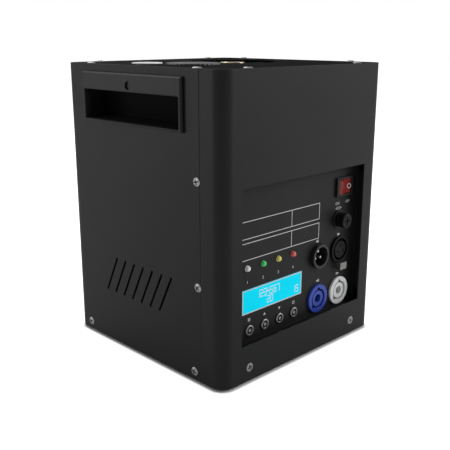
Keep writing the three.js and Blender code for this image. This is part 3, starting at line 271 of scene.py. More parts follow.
def pocketed(name, colour):
    """Handle moulding with painted shade down in its pocket, where it is also duller than on its face."""
    f = Finish(name, colour, RIM_ROUGHNESS, specular=0.26)
    grit = f.cells(MOULD_GRAIN)
    lit = f.math("ABSOLUTE", f.axis(0)).span(POCKET_SHADE_FULL, POCKET_SHADE_END)
    # Painted shade: the tone falls to a small share of the colour down in the pocket
    tone = (1 - lit).mix(grit.mix(*shades(colour, 0.12)), scaled(colour, POCKET_SHADE_SHARE))
    dull = POCKET_ROUGHNESS - lit * (POCKET_ROUGHNESS - RIM_ROUGHNESS) + grit * 0.04
    return f.done(tone, dull, grit, depth=0.04, strength=0.45)


def rubber(name, colour):
    """Black rubber, paler where dust sits on it."""
    f = Finish(name, colour, 0.85, specular=0.25)
    tone = f.noise(160, detail=5, roughness=0.65).mix(colour, scaled(colour, 2.2))
    return f.done(tone, 0.85, f.noise(1400, detail=3), depth=0.06, strength=0.5)


def brushed(name, colour, roughness, stretch, heat=None):
    """Brushed or turned metal: long fine scratches, smudges and, near a hot end, temper colours."""
    f = Finish(name, colour, roughness, metallic=1.0)
    scratch = f.noise(260, detail=4, roughness=0.7, stretch=stretch)
    smudge = f.noise(45, detail=3, roughness=0.6)
    tone = (scratch * 0.6 + smudge * 0.4).mix(*shades(colour, 0.22))
    if heat:
        cool_height, hot_height, straw = heat
        warm = f.axis(2).span(cool_height, hot_height) * smudge.ramp((0.3, 0.4), (0.7, 1))
        tone = warm.mix(tone, straw)
    dull = roughness - 0.08 + scratch * 0.16 + smudge * 0.06
    return f.done(tone, dull, scratch, depth=0.02, strength=0.4)


def zinc(name, colour):
    """Zinc-plated sheet with its crystal spangle."""
    f = Finish(name, colour, 0.38, metallic=1.0)
    spangle = f.cells(140)
    grain = f.noise(500, detail=3)
    tone = (spangle * 0.55 + grain * 0.3).mix(*shades(colour, 0.28))
    return f.done(tone, 0.3 + spangle * 0.16, grain, depth=0.02, strength=0.3)


BLACK, WHITE = (0, 0, 0, 1), (1, 1, 1, 1)


def solder_mask(name, colour, copper):
    """Circuit board: green varnish over tracks that show as lighter lines, with round pads."""
    f = Finish(name, colour, 0.35)
    lines = {"Scale": 260.0, "Mortar Size": 0.06, "Color1": BLACK, "Color2": BLACK, "Mortar": WHITE}
    tracks = f.make("ShaderNodeTexBrick", {"Vector": f.place, **lines}, "Fac", offset=0.37)
    pads = f.cells(330).ramp((0.0, 1), (0.1, 1), (0.13, 0))
    tone = pads.mix(tracks.mix(colour, scaled(colour, 1.9)), copper)
    f.put("Metallic", pads * 0.8)
    return f.done(tone, 0.32 + f.noise(200) * 0.1, tracks + pads, depth=0.04, strength=0.5)


def fibre(name, colour):
    """Loose ceramic fibre, darker between its strands."""
    f = Finish(name, colour, 0.95, specular=0.1)
    strands = f.noise(700, detail=5, roughness=0.75, stretch=(1, 1, 3))
    return f.done(strands.mix(scaled(colour, 0.6), colour), 0.95, strands, depth=0.4, strength=0.8)


def lit_glass(name, colour, glow):
    """Display glass with an uneven back light and faint scan rows."""
    f = Finish(name, colour, 0.3, specular=0.04)
    rows = f.make("ShaderNodeTexWave", {"Vector": f.place, "Scale": 260.0}, bands_direction="Z")
    cloud = f.noise(32)
    tone = (cloud * 0.7 + rows * 0.3).mix(*shades(colour, 0.12))
    f.glow(tone, glow)
    return f.done(tone, 0.26 + cloud * 0.08)


def lens(name, colour, glow):
    """Small lamp lens: clear coloured plastic with a lit chip behind it."""
    f = Finish(name, colour, 0.12)
    swirl = f.noise(900)
    tone = swirl.mix(*shades(colour, 0.2))
    f.glow(tone, glow)
    f.put("Coat Weight", 0.6)
    return f.done(tone, 0.1 + swirl * 0.08)


def glossy(name, colour, roughness, glow=0.0, specular=0.4):
    """Smooth plastic with a slight ripple and handling marks."""
    f = Finish(name, colour, roughness, specular=specular)
    mark = f.noise(220, detail=4, roughness=0.6)
    tone = mark.mix(*shades(colour, 0.1))
    if glow:
        f.glow(tone, glow)
    return f.done(tone, roughness - 0.05 + mark * 0.12, f.noise(90), depth=0.1, strength=0.15)


def clear_glass(name, colour):
    """Clear glass with faint smears."""
    f = Finish(name, colour, 0.08)
    smear = f.noise(300, detail=3)
    f.put("Transmission Weight", 0.75)
    return f.done(smear.mix(*shades(colour, 0.08)), 0.04 + smear * 0.08)


def print_ink(name, colour):
    """Screen print in slightly uneven ink."""
    f = Finish(name, colour, 0.5, specular=0.3)
    ink = f.noise(2500, detail=3)
    tone = ink.mix(scaled(colour, 0.82), colour)
    return f.done(tone, 0.45 + ink * 0.15, ink, depth=0.02, strength=0.3)


# Stretches of the scratch pattern: fine along the named axis and long across it
FINE_X, FINE_Y, FINE_Z, COARSE_Z = (30, 1, 1), (1, 30, 1), (1, 1, 30), (1, 1, 20)
STRAW = (0.42, 0.33, 0.2)
HOT_LENGTH = 20 * MM
NOZZLE_TOP = high_of("nozzle_tube").z
NOZZLE_HEAT = (NOZZLE_TOP - HOT_LENGTH, NOZZLE_TOP, STRAW)

# Each finish: the material's name, its colour, then its roughness and its specular level or glow
FINISHES = {
    "case_paint": powder_coat("black_powder_coat", (0.0094, 0.0094, 0.0099), 0.46, 0.2),
    # The top plate's coat is a much darker copy of the case's coat with almost no sheen: painted shade on
    # the top
    "top_paint": powder_coat("black_top_coat", (0.0025, 0.0025, 0.0027), 0.62, 0.012),
    "tray_paint": powder_coat("black_tray_coat", (0.0125, 0.0125, 0.0132), 0.5, 0.18),
    "moulded_black": moulded("black_moulding", (0.0085, 0.0085, 0.0092), 0.48, 0.26),
    # The handles carry painted shade in their pockets
    "handle_black": pocketed("handle_moulding", (0.0095, 0.0095, 0.0102)),
    "cap_black": moulded("fuse_cap_moulding", (0.0045, 0.0045, 0.005), 0.5, 0.14),
    "foot_rubber": rubber("foot_rubber", (0.012, 0.012, 0.012)),
    "zinc_sheet": zinc("zinc_sheet", (0.5, 0.51, 0.53)),
    "steel": brushed("turned_steel", (0.6, 0.6, 0.62), 0.3, FINE_Z),
    "nozzle_steel": brushed("nozzle_steel", (0.62, 0.62, 0.64), 0.26, FINE_Z, NOZZLE_HEAT),
    "dish_steel": brushed("spun_dish", (0.05, 0.05, 0.055), 0.4, COARSE_Z),
    "insulation": fibre("ceramic_fibre", (0.72, 0.69, 0.6)),
    "hopper_plastic": moulded("hopper_plastic", (0.55, 0.53, 0.47), 0.45, 0.4, grain=1800),
    "cap_metal": brushed("black_anodised", (0.11, 0.11, 0.115), 0.42, (1, 1, 12)),
    "window_white": glossy("white_window", (0.86, 0.86, 0.86), 0.35),
    "boards": solder_mask("solder_mask", (0.012, 0.085, 0.03), (0.7, 0.48, 0.2)),
    "motor_metal": powder_coat("motor_paint", (0.1, 0.1, 0.105), 0.4, 0.4),
    "display_glass": lit_glass("lit_display", (0.0004, 0.5, 0.66), 0.55),
    "display_frame": brushed("tinned_frame", (0.5, 0.5, 0.52), 0.35, FINE_X),
    "lamp_white": lens("white_lens", (0.6, 0.6, 0.6), 0.12),
    "lamp_green": lens("green_lens", (0.035, 0.42, 0.09), 0.2),
    "lamp_yellow": lens("yellow_lens", (0.52, 0.46, 0.1), 0.15),
    "lamp_red": lens("red_lens", (0.46, 0.07, 0.06), 0.2),
    "bright_trim": brushed("satin_trim", (0.58, 0.58, 0.59), 0.3, FINE_Y),
    "rocker_red": glossy("red_rocker", (0.2, 0.022, 0.02), 0.16, glow=0.04, specular=0.6),
    "fuse_glass": clear_glass("fuse_glass", (0.85, 0.87, 0.88)),
    "socket_black": moulded("socket_black", (0.0095, 0.0095, 0.01), 0.4, 0.4),
    "socket_blue": moulded("socket_blue", (0.024, 0.056, 0.35), 0.36, 0.4),
    "socket_grey": moulded("socket_grey", (0.62, 0.625, 0.63), 0.42, 0.35),
    "latch_steel": brushed("latch_steel", (0.24, 0.235, 0.22), 0.42, COARSE_Z),
    "ring_steel": brushed("ring_steel", (0.3, 0.3, 0.305), 0.34, FINE_Y),
    "plunger_steel": brushed("plunger_steel", (0.36, 0.36, 0.37), 0.3, FINE_Y),
    "brass": brushed("contact_brass", (0.72, 0.52, 0.24), 0.28, FINE_Y),
    "nickel": brushed("nickel_pin", (0.85, 0.84, 0.81), 0.3, FINE_Y),
    "screw_steel": brushed("screw_steel", (0.37, 0.365, 0.355), 0.34, (8, 8, 8)),
    # A dark finish painted as shade in recesses: the screw crosses and the tray brackets
    "recess_dark": moulded("recess_dark", (0.012, 0.012, 0.012), 0.6, 0.1),
    "ink": print_ink("white_ink", (0.62, 0.62, 0.62)),
    "pixel": print_ink("display_pixel", (0.9, 0.95, 0.97)),
}

# Nodes shown in a finish of another name than their material slot
FINISH_OF = {
    # The top plate takes the darker coat, painted shade on the top
    "top_plate": "top_paint",
    "control_tray": "tray_paint",
    "nozzle_tube": "nozzle_steel",
    "nozzle_dish": "dish_steel",
    # The tray brackets in the panel's recess are darkened as painted shade
    "tray_bracket_left": "recess_dark",
    "tray_bracket_right": "recess_dark",
    "left_handle": "handle_black",
    "right_handle": "handle_black",
    "fuse_cap": "cap_black",
    "data_outlet": "cap_black",
    "release_latch": "latch_steel",
    **{"button_ring_%d" % i: "ring_steel" for i in range(1, 5)},
    **{"button_%d" % i: "plunger_steel" for i in range(1, 5)},
}


# Mesh work
def finish_name(node):
    return FINISH_OF.get(node, SLOT_OF[node])


def put_in_scene(name, mesh, finish, body):
    piece = new_object(name, mesh)
    mesh.materials.clear()
    mesh.materials.append(FINISHES[finish])
    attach(piece, body)
    return piece


SMOOTH_ANGLE = math.radians(32)
EDGE_ANGLE = math.radians(35)
FLAT_ANGLE = math.radians(0.5)
JOIN_ANGLE = math.radians(0.4)
WELD = 0.002 * MM


def flat_regions(bm):
    """Numbers the flat regions of a mesh: each face's region, and each region's area and normal."""
    region_of = {}
    regions = []
    for seed in bm.faces:
        if seed in region_of:
            continue
        number = len(regions)
        region_of[seed] = number
        area = 0.0
        waiting = [seed]
        while waiting:
            face = waiting.pop()
            area += face.calc_area()
            for edge in face.edges:
                for other in edge.link_faces:
                    if other not in region_of and other.normal.angle(seed.normal, 1) < FLAT_ANGLE:
                        region_of[other] = number
                        waiting.append(other)
        regions.append((area, seed.normal.copy()))
    return region_of, regions


def fan_at(vert, start):
    """The faces round a vertex that can be reached from one of them without crossing a sharp edge."""
    fan = {start}
    waiting = [start]
    while waiting:
        face = waiting.pop()
        for edge in face.edges:
            if vert not in edge.verts or len(edge.link_faces) != 2:
                continue
            if edge.calc_face_angle() > SMOOTH_ANGLE:
                continue
            for other in edge.link_faces:
                if other not in fan:
                    fan.add(other)
                    waiting.append(other)
    return fan


def smooth(mesh):
    """Smooths a mesh up to an angle. Normals follow the larger flat region: flat faces stay flat."""
    mesh.shade_smooth()
    mesh.set_sharp_from_angle(angle=SMOOTH_ANGLE)
    bm = bmesh.new()
    bm.from_mesh(mesh)
    region_of, regions = flat_regions(bm)
    normal_at = {}
    for vert in bm.verts:
        left = set(vert.link_faces)
        while left:
            fan = fan_at(vert, next(iter(left)))
            left -= fan
            total = Vector((0, 0, 0))
            # In order, so that every run has the same rounding
            for number in sorted({region_of[face] for face in fan}):
                area, normal = regions[number]
                total += area * normal
            for face in fan:
                normal_at[face.index, vert.index] = total.normalized() if total.length > 0 else face.normal
    corners = [
        normal_at[polygon.index, mesh.loops[i].vertex_index]
        for polygon in mesh.polygons for i in polygon.loop_indices
    ]
    bm.free()
    mesh.normals_split_custom_set(corners)


def round_edges(bm, width, kept=()):
    """Breaks the sharp outer edges of a welded mesh, except those to be kept."""
    edges = [
        e for e in bm.edges
        if e not in kept and len(e.link_faces) == 2 and e.is_convex and e.calc_face_angle() > EDGE_ANGLE
    ]
    bmesh.ops.bevel(
        bm, geom=edges, offset=width, offset_type="OFFSET", segments=2, profile=0.5,
        affect="EDGES", clamp_overlap=True, material=-1,
    )


# The seam between the two shells is a gap above its step and closed below it. Millimetres.
SHELLS = ("front_shell", "rear_shell")
SEAM_STEP = 26.4
SEAM_GAP = 0.3
SEAM_REACH = 0.45
SEAM_SLACK = 0.01
CUT_SLACK = 0.001


def close_low_seam(bm):
    """Brings the two shells' edges together below the step in their seam, and returns those edges."""
    step = CASE_FOOT + SEAM_STEP * MM
    geometry = bm.verts[:] + bm.edges[:] + bm.faces[:]
    bmesh.ops.bisect_plane(
        bm, geom=geometry, dist=CUT_SLACK * MM, plane_co=(0, 0, step), plane_no=(0, 0, 1),
    )
    near = {
        v for v in bm.verts
        if abs(v.co.y - SEAM_Y) < SEAM_REACH * MM and v.co.z < step + SEAM_SLACK * MM
    }
    for vert in near:
        vert.co.y = SEAM_Y - SEAM_GAP * MM
    return {e for e in bm.edges if set(e.verts) <= near}


def dressed_mesh(node, width):
    """A copy of a node's solid, welded, with its flat faces joined and its outer edges broken."""
    bm = bmesh.new()
    bm.from_mesh(NODES[node].data)
    bmesh.ops.remove_doubles(bm, verts=bm.verts, dist=WELD)
    bmesh.ops.dissolve_limit(bm, angle_limit=JOIN_ANGLE, verts=bm.verts, edges=bm.edges)
    kept = close_low_seam(bm) if node in SHELLS else ()
    round_edges(bm, width, kept)
    bmesh.ops.triangulate(bm, faces=[f for f in bm.faces if len(f.verts) > 4])
    mesh = bpy.data.meshes.new(node + "_dressed")
    bm.to_mesh(mesh)
    bm.free()
    return mesh


MIRROR_OF = {"right_handle": "left_handle"}


def mirror(mesh):
    """Turns a mesh into its mirror image across the plane x = 0."""
    bm = bmesh.new()
    bm.from_mesh(mesh)
    bmesh.ops.scale(bm, vec=(-1, 1, 1), verts=bm.verts)
    bmesh.ops.reverse_faces(bm, faces=bm.faces)
    bm.to_mesh(mesh)
    bm.free()


def show_in_place_of(node, mesh, suffix):
    """Shows a mesh instead of a node's solid, with the node's own body, slot and finish."""
    piece = put_in_scene(node + suffix, mesh, finish_name(node), BODY_OF[node])
    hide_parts(node)


def dress(node, width):
    """Shows a node with softened edges. A mirrored node takes the other's mesh, turned over."""
    mesh = dressed_mesh(MIRROR_OF.get(node, node), width)
    if node in MIRROR_OF:
        mirror(mesh)
    smooth(mesh)
    show_in_place_of(node, mesh, "_dressed")


def ring_point(bm, radius, height, angle):
    """A new vertex about Z; the radius and the height are in millimetres."""
    return bm.verts.new((radius * MM * math.cos(angle), radius * MM * math.sin(angle), height * MM))


def skin(bm, rings, sides):
    """Joins rings of vertices with faces. A ring may be a single point."""
    for low, high in zip(rings, rings[1:]):
        for i in range(sides):
            j = (i + 1) % sides
            corners = [low[i % len(low)], low[j % len(low)], high[j % len(high)], high[i % len(high)]]
            face = list(dict.fromkeys(corners))
            if len(face) > 2:
                bm.faces.new(face)


def turned(profile, sides):
    """A mesh revolved about Z from (radius, height) points in millimetres, listed up its outside."""
    bm = bmesh.new()
    rings = [
        [ring_point(bm, radius, height, math.tau * i / sides) for i in range(sides if radius else 1)]
        for radius, height in profile
    ]
    skin(bm, rings, sides)
    return bm


def placed(bm, place):
    """Moves a mesh under construction to its place, with its faces turned outward."""
    bmesh.ops.transform(bm, matrix=place, verts=bm.verts)
    bmesh.ops.recalc_face_normals(bm, faces=bm.faces)
    return bm


def as_mesh(name, bm):
    """Turns a mesh under construction into a smoothed mesh."""
    mesh = bpy.data.meshes.new(name)
    bm.to_mesh(mesh)
    bm.free()
    smooth(mesh)
    return mesh


def block(bm, low, high):
    """Adds a box, given its corners in metres, to a mesh under construction."""
    middle = (Vector(low) + Vector(high)) / 2
    size = Vector(high) - Vector(low)
    place = Matrix.Translation(middle) @ Matrix.Diagonal((*size, 1))
    bmesh.ops.create_cube(bm, size=1.0, matrix=place)


def final_mesh(thing):
    """An object's mesh after its modifiers, with the object itself removed."""
    bpy.context.view_layer.update()
    seen = thing.evaluated_get(bpy.context.evaluated_depsgraph_get())
    mesh = bpy.data.meshes.new_from_object(seen)
    bpy.data.objects.remove(thing)
    return mesh


def carved(mesh, tool, operation="DIFFERENCE"):
    """The mesh less (or joined with) the tool mesh, as a new mesh."""
    first, second = new_object("carved", mesh), new_object("tool", tool)
    cutter = first.modifiers.new("cut", "BOOLEAN")
    cutter.operation = operation
    cutter.solver = "EXACT"
    cutter.object = second
    result = final_mesh(first)
    bpy.data.objects.remove(second)
    return result


def several(name, mesh, places):
    """One mesh that holds a copy of another at each of several places."""
    bm = bmesh.new()
    for place in places:
        start = len(bm.verts)
        bm.from_mesh(mesh)
        bm.verts.ensure_lookup_table()
        bmesh.ops.transform(bm, matrix=place, verts=bm.verts[start:])
    return as_mesh(name, bm)


FACING = {
    "top": Matrix.Identity(4),
    "front": Matrix.Rotation(math.radians(90), 4, "X"),
    "rear": Matrix.Rotation(math.radians(-90), 4, "X"),
    "left": Matrix.Rotation(math.radians(-90), 4, "Y"),
    "right": Matrix.Rotation(math.radians(90), 4, "Y"),
}


def at(facing, x, y, z, turn=0.0):
    """A place for a mesh that was made about Z: its Z axis leaves the named face."""
    spin = Matrix.Rotation(math.radians(turn), 4, "Z")
    return Matrix.Translation(Vector((x, y, z))) @ FACING[facing] @ spin


def show_several(name, mesh, places, finish):
    put_in_scene(name, several(name, mesh, places), finish, "case")


def show_print(name, bm, finish="ink", body="case"):
    put_in_scene(name, as_mesh(name, bm), finish, body)


# Screws: a domed or a low head with a cross recess. Millimetres, and degrees for the arc.
SCREW_RADIUS, SCREW_SINK, SCREW_SIDES = 3.55, 0.02, 36
SCREW_ARC = (84, 72, 58, 42, 24)
RIM_SHARE, ARC_POWER = 0.14, 0.8
DOMED_RISE, LOW_RISE = 1.0, 0.28
CROSS_REACH, CROSS_HALF = 2.3, 0.55
# The recess depth, then the depth of the top of the dark block painted as shade in it
CROSS_DEPTH, CROSS_SHADE_TOP = 0.9, 0.3
ARM_STEP = 0.01


def cross_arms(low, high):
    """The two boxes of a cross recess, each as a pair of corners in metres."""
    reach, half = CROSS_REACH * MM, CROSS_HALF * MM
    return [((-x, -y, low), (x, y, high)) for x, y in ((reach, half), (half, reach))]


def screw_mesh(rise):
    arc = []
    for angle in SCREW_ARC:
        a = math.radians(angle)
        arc.append((SCREW_RADIUS * math.sin(a), rise * math.cos(a) ** ARC_POWER))
    rim = [(0, -SCREW_SINK), (SCREW_RADIUS, -SCREW_SINK), (SCREW_RADIUS, RIM_SHARE * rise)]
    head = as_mesh("screw_head", turned([*rim, *arc, (0, rise)], SCREW_SIDES))
    for corners in cross_arms((rise - CROSS_DEPTH) * MM, (rise + 1) * MM):
        arm = bmesh.new()
        block(arm, *corners)
        head = carved(head, as_mesh("cross_arm", arm))
    return head


def cross_floor_mesh():
    """A dark block painted as shade on the floor of a domed screw's cross recess."""
    bm = bmesh.new()
    across, upright = cross_arms((DOMED_RISE - CROSS_DEPTH) * MM, (DOMED_RISE - CROSS_SHADE_TOP) * MM)
    block(bm, *across)
    block(bm, upright[0], Vector(upright[1]) - Vector((0, 0, ARM_STEP * MM)))
    return as_mesh("cross_floor", bm)


# Screw places in millimetres: (y, z) on the sides, (x, y) in one quarter of the top, (x, z) on the
# rear and the front. Heights are from the case's foot, the rest from its middle. Turns are degrees.
SIDE_SCREWS = ((-69.8, 159.6), (-70.1, 78.0), (-65.3, 7.2), (76.6, 7.4))
TOP_SCREWS = ((91.0, 65.5), (65.5, 91.0))
REAR_SCREWS = ((66.0, 11.5), (66.0, 228.0))
FRONT_SCREWS = ((-66.7, 11.3), (65.9, 11.8))
QUARTERS = ((1, 1), (-1, 1), (-1, -1), (1, -1))
SCREW_TURNS = (14, 52, 77, 33, 5, 61, 22, 84)
FIRST_REAR_TURN = 3


def make_screws():
    domed = screw_mesh(DOMED_RISE)
    low = screw_mesh(LOW_RISE)
    shade = cross_floor_mesh()
    groups = {"side": [], "top": [], "rear": [], "front": []}
    for side, facing in ((-1, "left"), (1, "right")):
        for (y, z), turn in zip(SIDE_SCREWS, SCREW_TURNS):
            groups["side"].append(at(facing, side * SIDE_X, y * MM, CASE_FOOT + z * MM, turn))
    top_places = [(sx * x, sy * y) for sx, sy in QUARTERS for x, y in TOP_SCREWS]
    for (x, y), turn in zip(top_places, SCREW_TURNS):
        groups["top"].append(at("top", x * MM, y * MM, CASE_TOP, turn))
    for (x, z), turn in zip(REAR_SCREWS, SCREW_TURNS[FIRST_REAR_TURN:]):
        for side in (-1, 1):
            groups["rear"].append(at("rear", side * x * MM, REAR_Y, CASE_FOOT + z * MM, turn))
    for (x, z), turn in zip(FRONT_SCREWS, SCREW_TURNS):
        groups["front"].append(at("front", x * MM, FRONT_Y, CASE_FOOT + z * MM, turn))
    for name, places in groups.items():
        flush = name in ("rear", "front")
        show_several(name + "_screws", low if flush else domed, places, "screw_steel")
        if not flush:
            # Domed heads get a dark block in their cross recess as painted shade
            show_several(name + "_screw_recesses", shade, places, "recess_dark")


make_screws()


# Print on the tray: frames, marks, numbers and the two switch words. Places are in millimetres,
# x from the case's middle and z from its foot.
PRINT_THICK, PRINT_GAP, LINE = 0.06, 0.01, 0.55


def polygon(bm, points):
    bm.faces.new([bm.verts.new((x, z, 0)) for x, z in points])


def strip(bm, x0, x1, z0, z1):
    polygon(bm, ((x0, z0), (x1, z0), (x1, z1), (x0, z1)))


def frame_bars(x0, x1, z0, z1, line):
    """The four bars of a rectangle, each as its left, right, lower and upper side."""
    return (
        (x0, x1, z0, z0 + line),
        (x0, x1, z1 - line, z1),
        (x0, x0 + line, z0 + line, z1 - line),
        (x1 - line, x1, z0 + line, z1 - line),
    )


def frame_lines(bm, x0, x1, z0, z1, line=LINE):
    for bar in frame_bars(x0, x1, z0, z1, line):
        strip(bm, *bar)


# The font's size for a capital letter of height 1, and the number of steps in its curves
FONT_SIZE = 1.38
FONT_STEPS = 3


def words(bm, text, x, z, height):
    """Adds centred letters as flat faces."""
    data = bpy.data.curves.new(text, "FONT")
    data.body = text
    data.size = height * FONT_SIZE
    data.align_x = "CENTER"
    data.align_y = "CENTER"
    data.resolution_u = FONT_STEPS
    start = len(bm.verts)
    bm.from_mesh(final_mesh(new_object(text, data)))
    bm.verts.ensure_lookup_table()
    place = Matrix.Translation(Vector((x, z, 0)))
    bmesh.ops.transform(bm, matrix=place, verts=bm.verts[start:])


# Numbers under the lamps, the switch words and the two empty boxes with their divider
LAMP_X, LAMP_PITCH, NUMBER_Z = -59.5, 18.1, 77.0
NUMBER_HEIGHT = 2.6
SWITCH_WORDS = (("ON", 52.8), ("OFF", 67.6))
WORD_Z, WORD_HEIGHT = 121.2, 2.5
BOX_LEFT, BOX_RIGHT, BOX_DIVIDER = -69.5, 28.3, -7.7
BOXES = ((112.0, 126.2), (95.0, 109.0))

# Marks above the buttons: three bars, two triangles and a box
BUTTON_X, BUTTON_PITCH, BUTTON_MARK_Z = -57.2, 18.0, 45.4
MARK_HALF = 1.3
BAR_PITCH, BAR_HALF = 1.0, 0.25
TRIANGLE_BASE, TRIANGLE_TIP = 1.0, 1.3
BOX_HALF, BOX_LINE = 1.2, 0.45

# Marks beside the sockets, each a triangle with a stop bar, and the sign for a fuse. The third
# number of a mark is 1 where it points right and -1 where it points left.
SOCKET_MARKS = ((25.8, 92.6, -1), (57.2, 93.0, 1), (27.9, 56.6, -1), (57.7, 56.6, 1))
STOP_GAP, STOP_HALF = 1.0, 0.3
FUSE_SIGN = (54.8, 117.0)
FUSE_BODY_HALF = (2.6, 1.0)
FUSE_LINE = 0.35
FUSE_WIRE_END, FUSE_WIRE_HALF = 4.2, 0.2


def make_button_marks(bm):
    z = BUTTON_MARK_Z
    bars, up, down, box = [BUTTON_X + i * BUTTON_PITCH for i in range(4)]
    for level in (-BAR_PITCH, 0, BAR_PITCH):
        strip(bm, bars - MARK_HALF, bars + MARK_HALF, z + level - BAR_HALF, z + level + BAR_HALF)
    low, tip = z - TRIANGLE_BASE, z + TRIANGLE_TIP
    polygon(bm, [(up - MARK_HALF, low), (up + MARK_HALF, low), (up, tip)])
    high, tip = z + TRIANGLE_BASE, z - TRIANGLE_TIP
    polygon(bm, [(down - MARK_HALF, high), (down, tip), (down + MARK_HALF, high)])
    frame_lines(bm, box - MARK_HALF, box + MARK_HALF, z - BOX_HALF, z + BOX_HALF, BOX_LINE)


def make_socket_marks(bm):
    for x, z, way in SOCKET_MARKS:
        back, tip = x - way * MARK_HALF, x + way * MARK_HALF
        polygon(bm, [(back, z + MARK_HALF), (back, z - MARK_HALF), (tip, z)][::way])
        stop = back - way * STOP_GAP
        strip(bm, stop - STOP_HALF, stop + STOP_HALF, z - MARK_HALF, z + MARK_HALF)
    x, z = FUSE_SIGN
    wide, high = FUSE_BODY_HALF
    frame_lines(bm, x - wide, x + wide, z - high, z + high, FUSE_LINE)
    strip(bm, x - FUSE_WIRE_END, x - wide, z - FUSE_WIRE_HALF, z + FUSE_WIRE_HALF)
    strip(bm, x + wide, x + FUSE_WIRE_END, z - FUSE_WIRE_HALF, z + FUSE_WIRE_HALF)


def make_print():
    """Draws the print flat, x right and z up, and lays it on the tray's front."""
    bm = bmesh.new()
    for low, high in BOXES:
        frame_lines(bm, BOX_LEFT, BOX_RIGHT, low, high)
        strip(bm, BOX_DIVIDER - LINE / 2, BOX_DIVIDER + LINE / 2, low + LINE, high - LINE)
    for i in range(4):
        words(bm, str(i + 1), LAMP_X + i * LAMP_PITCH, NUMBER_Z, NUMBER_HEIGHT)
    for text, x in SWITCH_WORDS:
        words(bm, text, x, WORD_Z, WORD_HEIGHT)
    make_button_marks(bm)
    make_socket_marks(bm)
    bm.normal_update()
    bmesh.ops.solidify(bm, geom=bm.faces[:], thickness=PRINT_THICK)
    place = at("front", 0, PANEL_Y - (PRINT_THICK + PRINT_GAP) * MM, CASE_FOOT)
    show_print("tray_print", placed(bm, place @ Matrix.Scale(MM, 4)))


make_print()


# Display: a border and two rows of dotted figures, in millimetres. FIRST_COLUMN is a share of the
# window's width. A row is the share of the height at which its middle lies, and its groups; a group
# is its first column and its figures.
BORDER, FIGURE_THICK = 0.9, 0.05
FIRST_COLUMN, COLUMN_PITCH = 0.069, 3.96
DOT_PITCH, DOT_WIDTH = 0.66, 0.5
ROW_PITCH, DOT_HEIGHT = 0.92, 0.82
HALF_ROWS = 3.5
DISPLAY_ROWS = ((0.67, ((3, "1234567"),)), (0.32, ((6, "20"), (14, "15"))))
SEGMENTS = {
    "0": "abcdef", "1": "bc", "2": "abged", "3": "abgcd", "4": "fgbc",
    "5": "afgcd", "6": "afgedc", "7": "abc", "8": "abcdefg", "9": "abcdfg",
}


# On a grid of 5 by 7 dots, the row of each level stroke, and the lowest dot of each upright one
LEVEL = {"a": 6, "g": 3, "d": 0}
UPRIGHT = {"f": (0, 3), "b": (4, 3), "e": (0, 0), "c": (4, 0)}


def dots_of(figure):
    """The dots of a figure, from its strokes."""
    strokes = {name: [(i, row) for i in range(5)] for name, row in LEVEL.items()}
    for name, (column, low) in UPRIGHT.items():
        strokes[name] = [(column, low + k) for k in range(4)]
    return sorted({dot for stroke in SEGMENTS[figure] for dot in strokes[stroke]})


def on_window(bm, corner, x0, x1, z0, z1):
    """Adds a thin block in front of the display window, measured from its lower left corner."""
    near, far = -PRINT_GAP - FIGURE_THICK, -PRINT_GAP
    block(bm, corner + Vector((x0, near, z0)) * MM, corner + Vector((x1, far, z1)) * MM)


def make_display():
    corner, far_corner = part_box("display_window")
    width, height = (far_corner.x - corner.x) / MM, (far_corner.z - corner.z) / MM
    bm = bmesh.new()
    for share, groups in DISPLAY_ROWS:
        foot = height * share - HALF_ROWS * ROW_PITCH
        for column, text in groups:
            for k, figure in enumerate(text):
                left = width * FIRST_COLUMN + (column + k) * COLUMN_PITCH
                for i, j in dots_of(figure):
                    x, z = left + i * DOT_PITCH, foot + j * ROW_PITCH
                    on_window(bm, corner, x, x + DOT_WIDTH, z, z + DOT_HEIGHT)
    show_print("display_figures", bm, "pixel")
    bm = bmesh.new()
    for bar in frame_bars(0, width, 0, height, BORDER):
        on_window(bm, corner, *bar)
    show_print("display_border", bm)


make_display()


def washer(inner, outer, thick):
    """The profile of a flat ring."""
    return [(inner, 0), (outer, 0), (outer, thick), (inner, thick), (inner, 0)]


# Rocker marks, in millimetres: a ring on the raised half, a short bar on the pressed one
ROCKER_SWING = math.radians(20)
ROCKER_SINK = 1.0
MARK_THICK = 0.08
RING_INNER, RING_OUTER, RING_SIDES = 1.6, 2.1, 32
RING_REACH, RING_LIFT = 4.6, 0.02
BAR_REACH, BAR_WIDTH, BAR_HEIGHT = 5.2, 0.6, 3.6


def make_rocker_marks():
    x, z = centre_of("rocker_housing").x, centre_of("power_rocker").z
    face = low_of("rocker_housing").y + ROCKER_SINK * MM
    bm = turned(washer(RING_INNER, RING_OUTER, MARK_THICK), RING_SIDES)
    across = RING_REACH * MM * math.cos(ROCKER_SWING)
    out = RING_REACH * MM * math.sin(ROCKER_SWING) + RING_LIFT * MM
    spot = Matrix.Translation(Vector((x + across, face - out, z)))
    tilt = Matrix.Rotation(-ROCKER_SWING, 4, "Z") @ FACING["front"]
    bmesh.ops.transform(bm, matrix=spot @ tilt, verts=bm.verts)
    show_print("rocker_ring_mark", bm, body="rocker_body")
    bm = bmesh.new()
    corner = Vector((x - BAR_REACH * MM, face - MARK_THICK * MM, z - BAR_HEIGHT / 2 * MM))
    block(bm, corner, corner + Vector((BAR_WIDTH, MARK_THICK, BAR_HEIGHT)) * MM)
    show_print("rocker_bar_mark", bm, body="rocker_body")


make_rocker_marks()


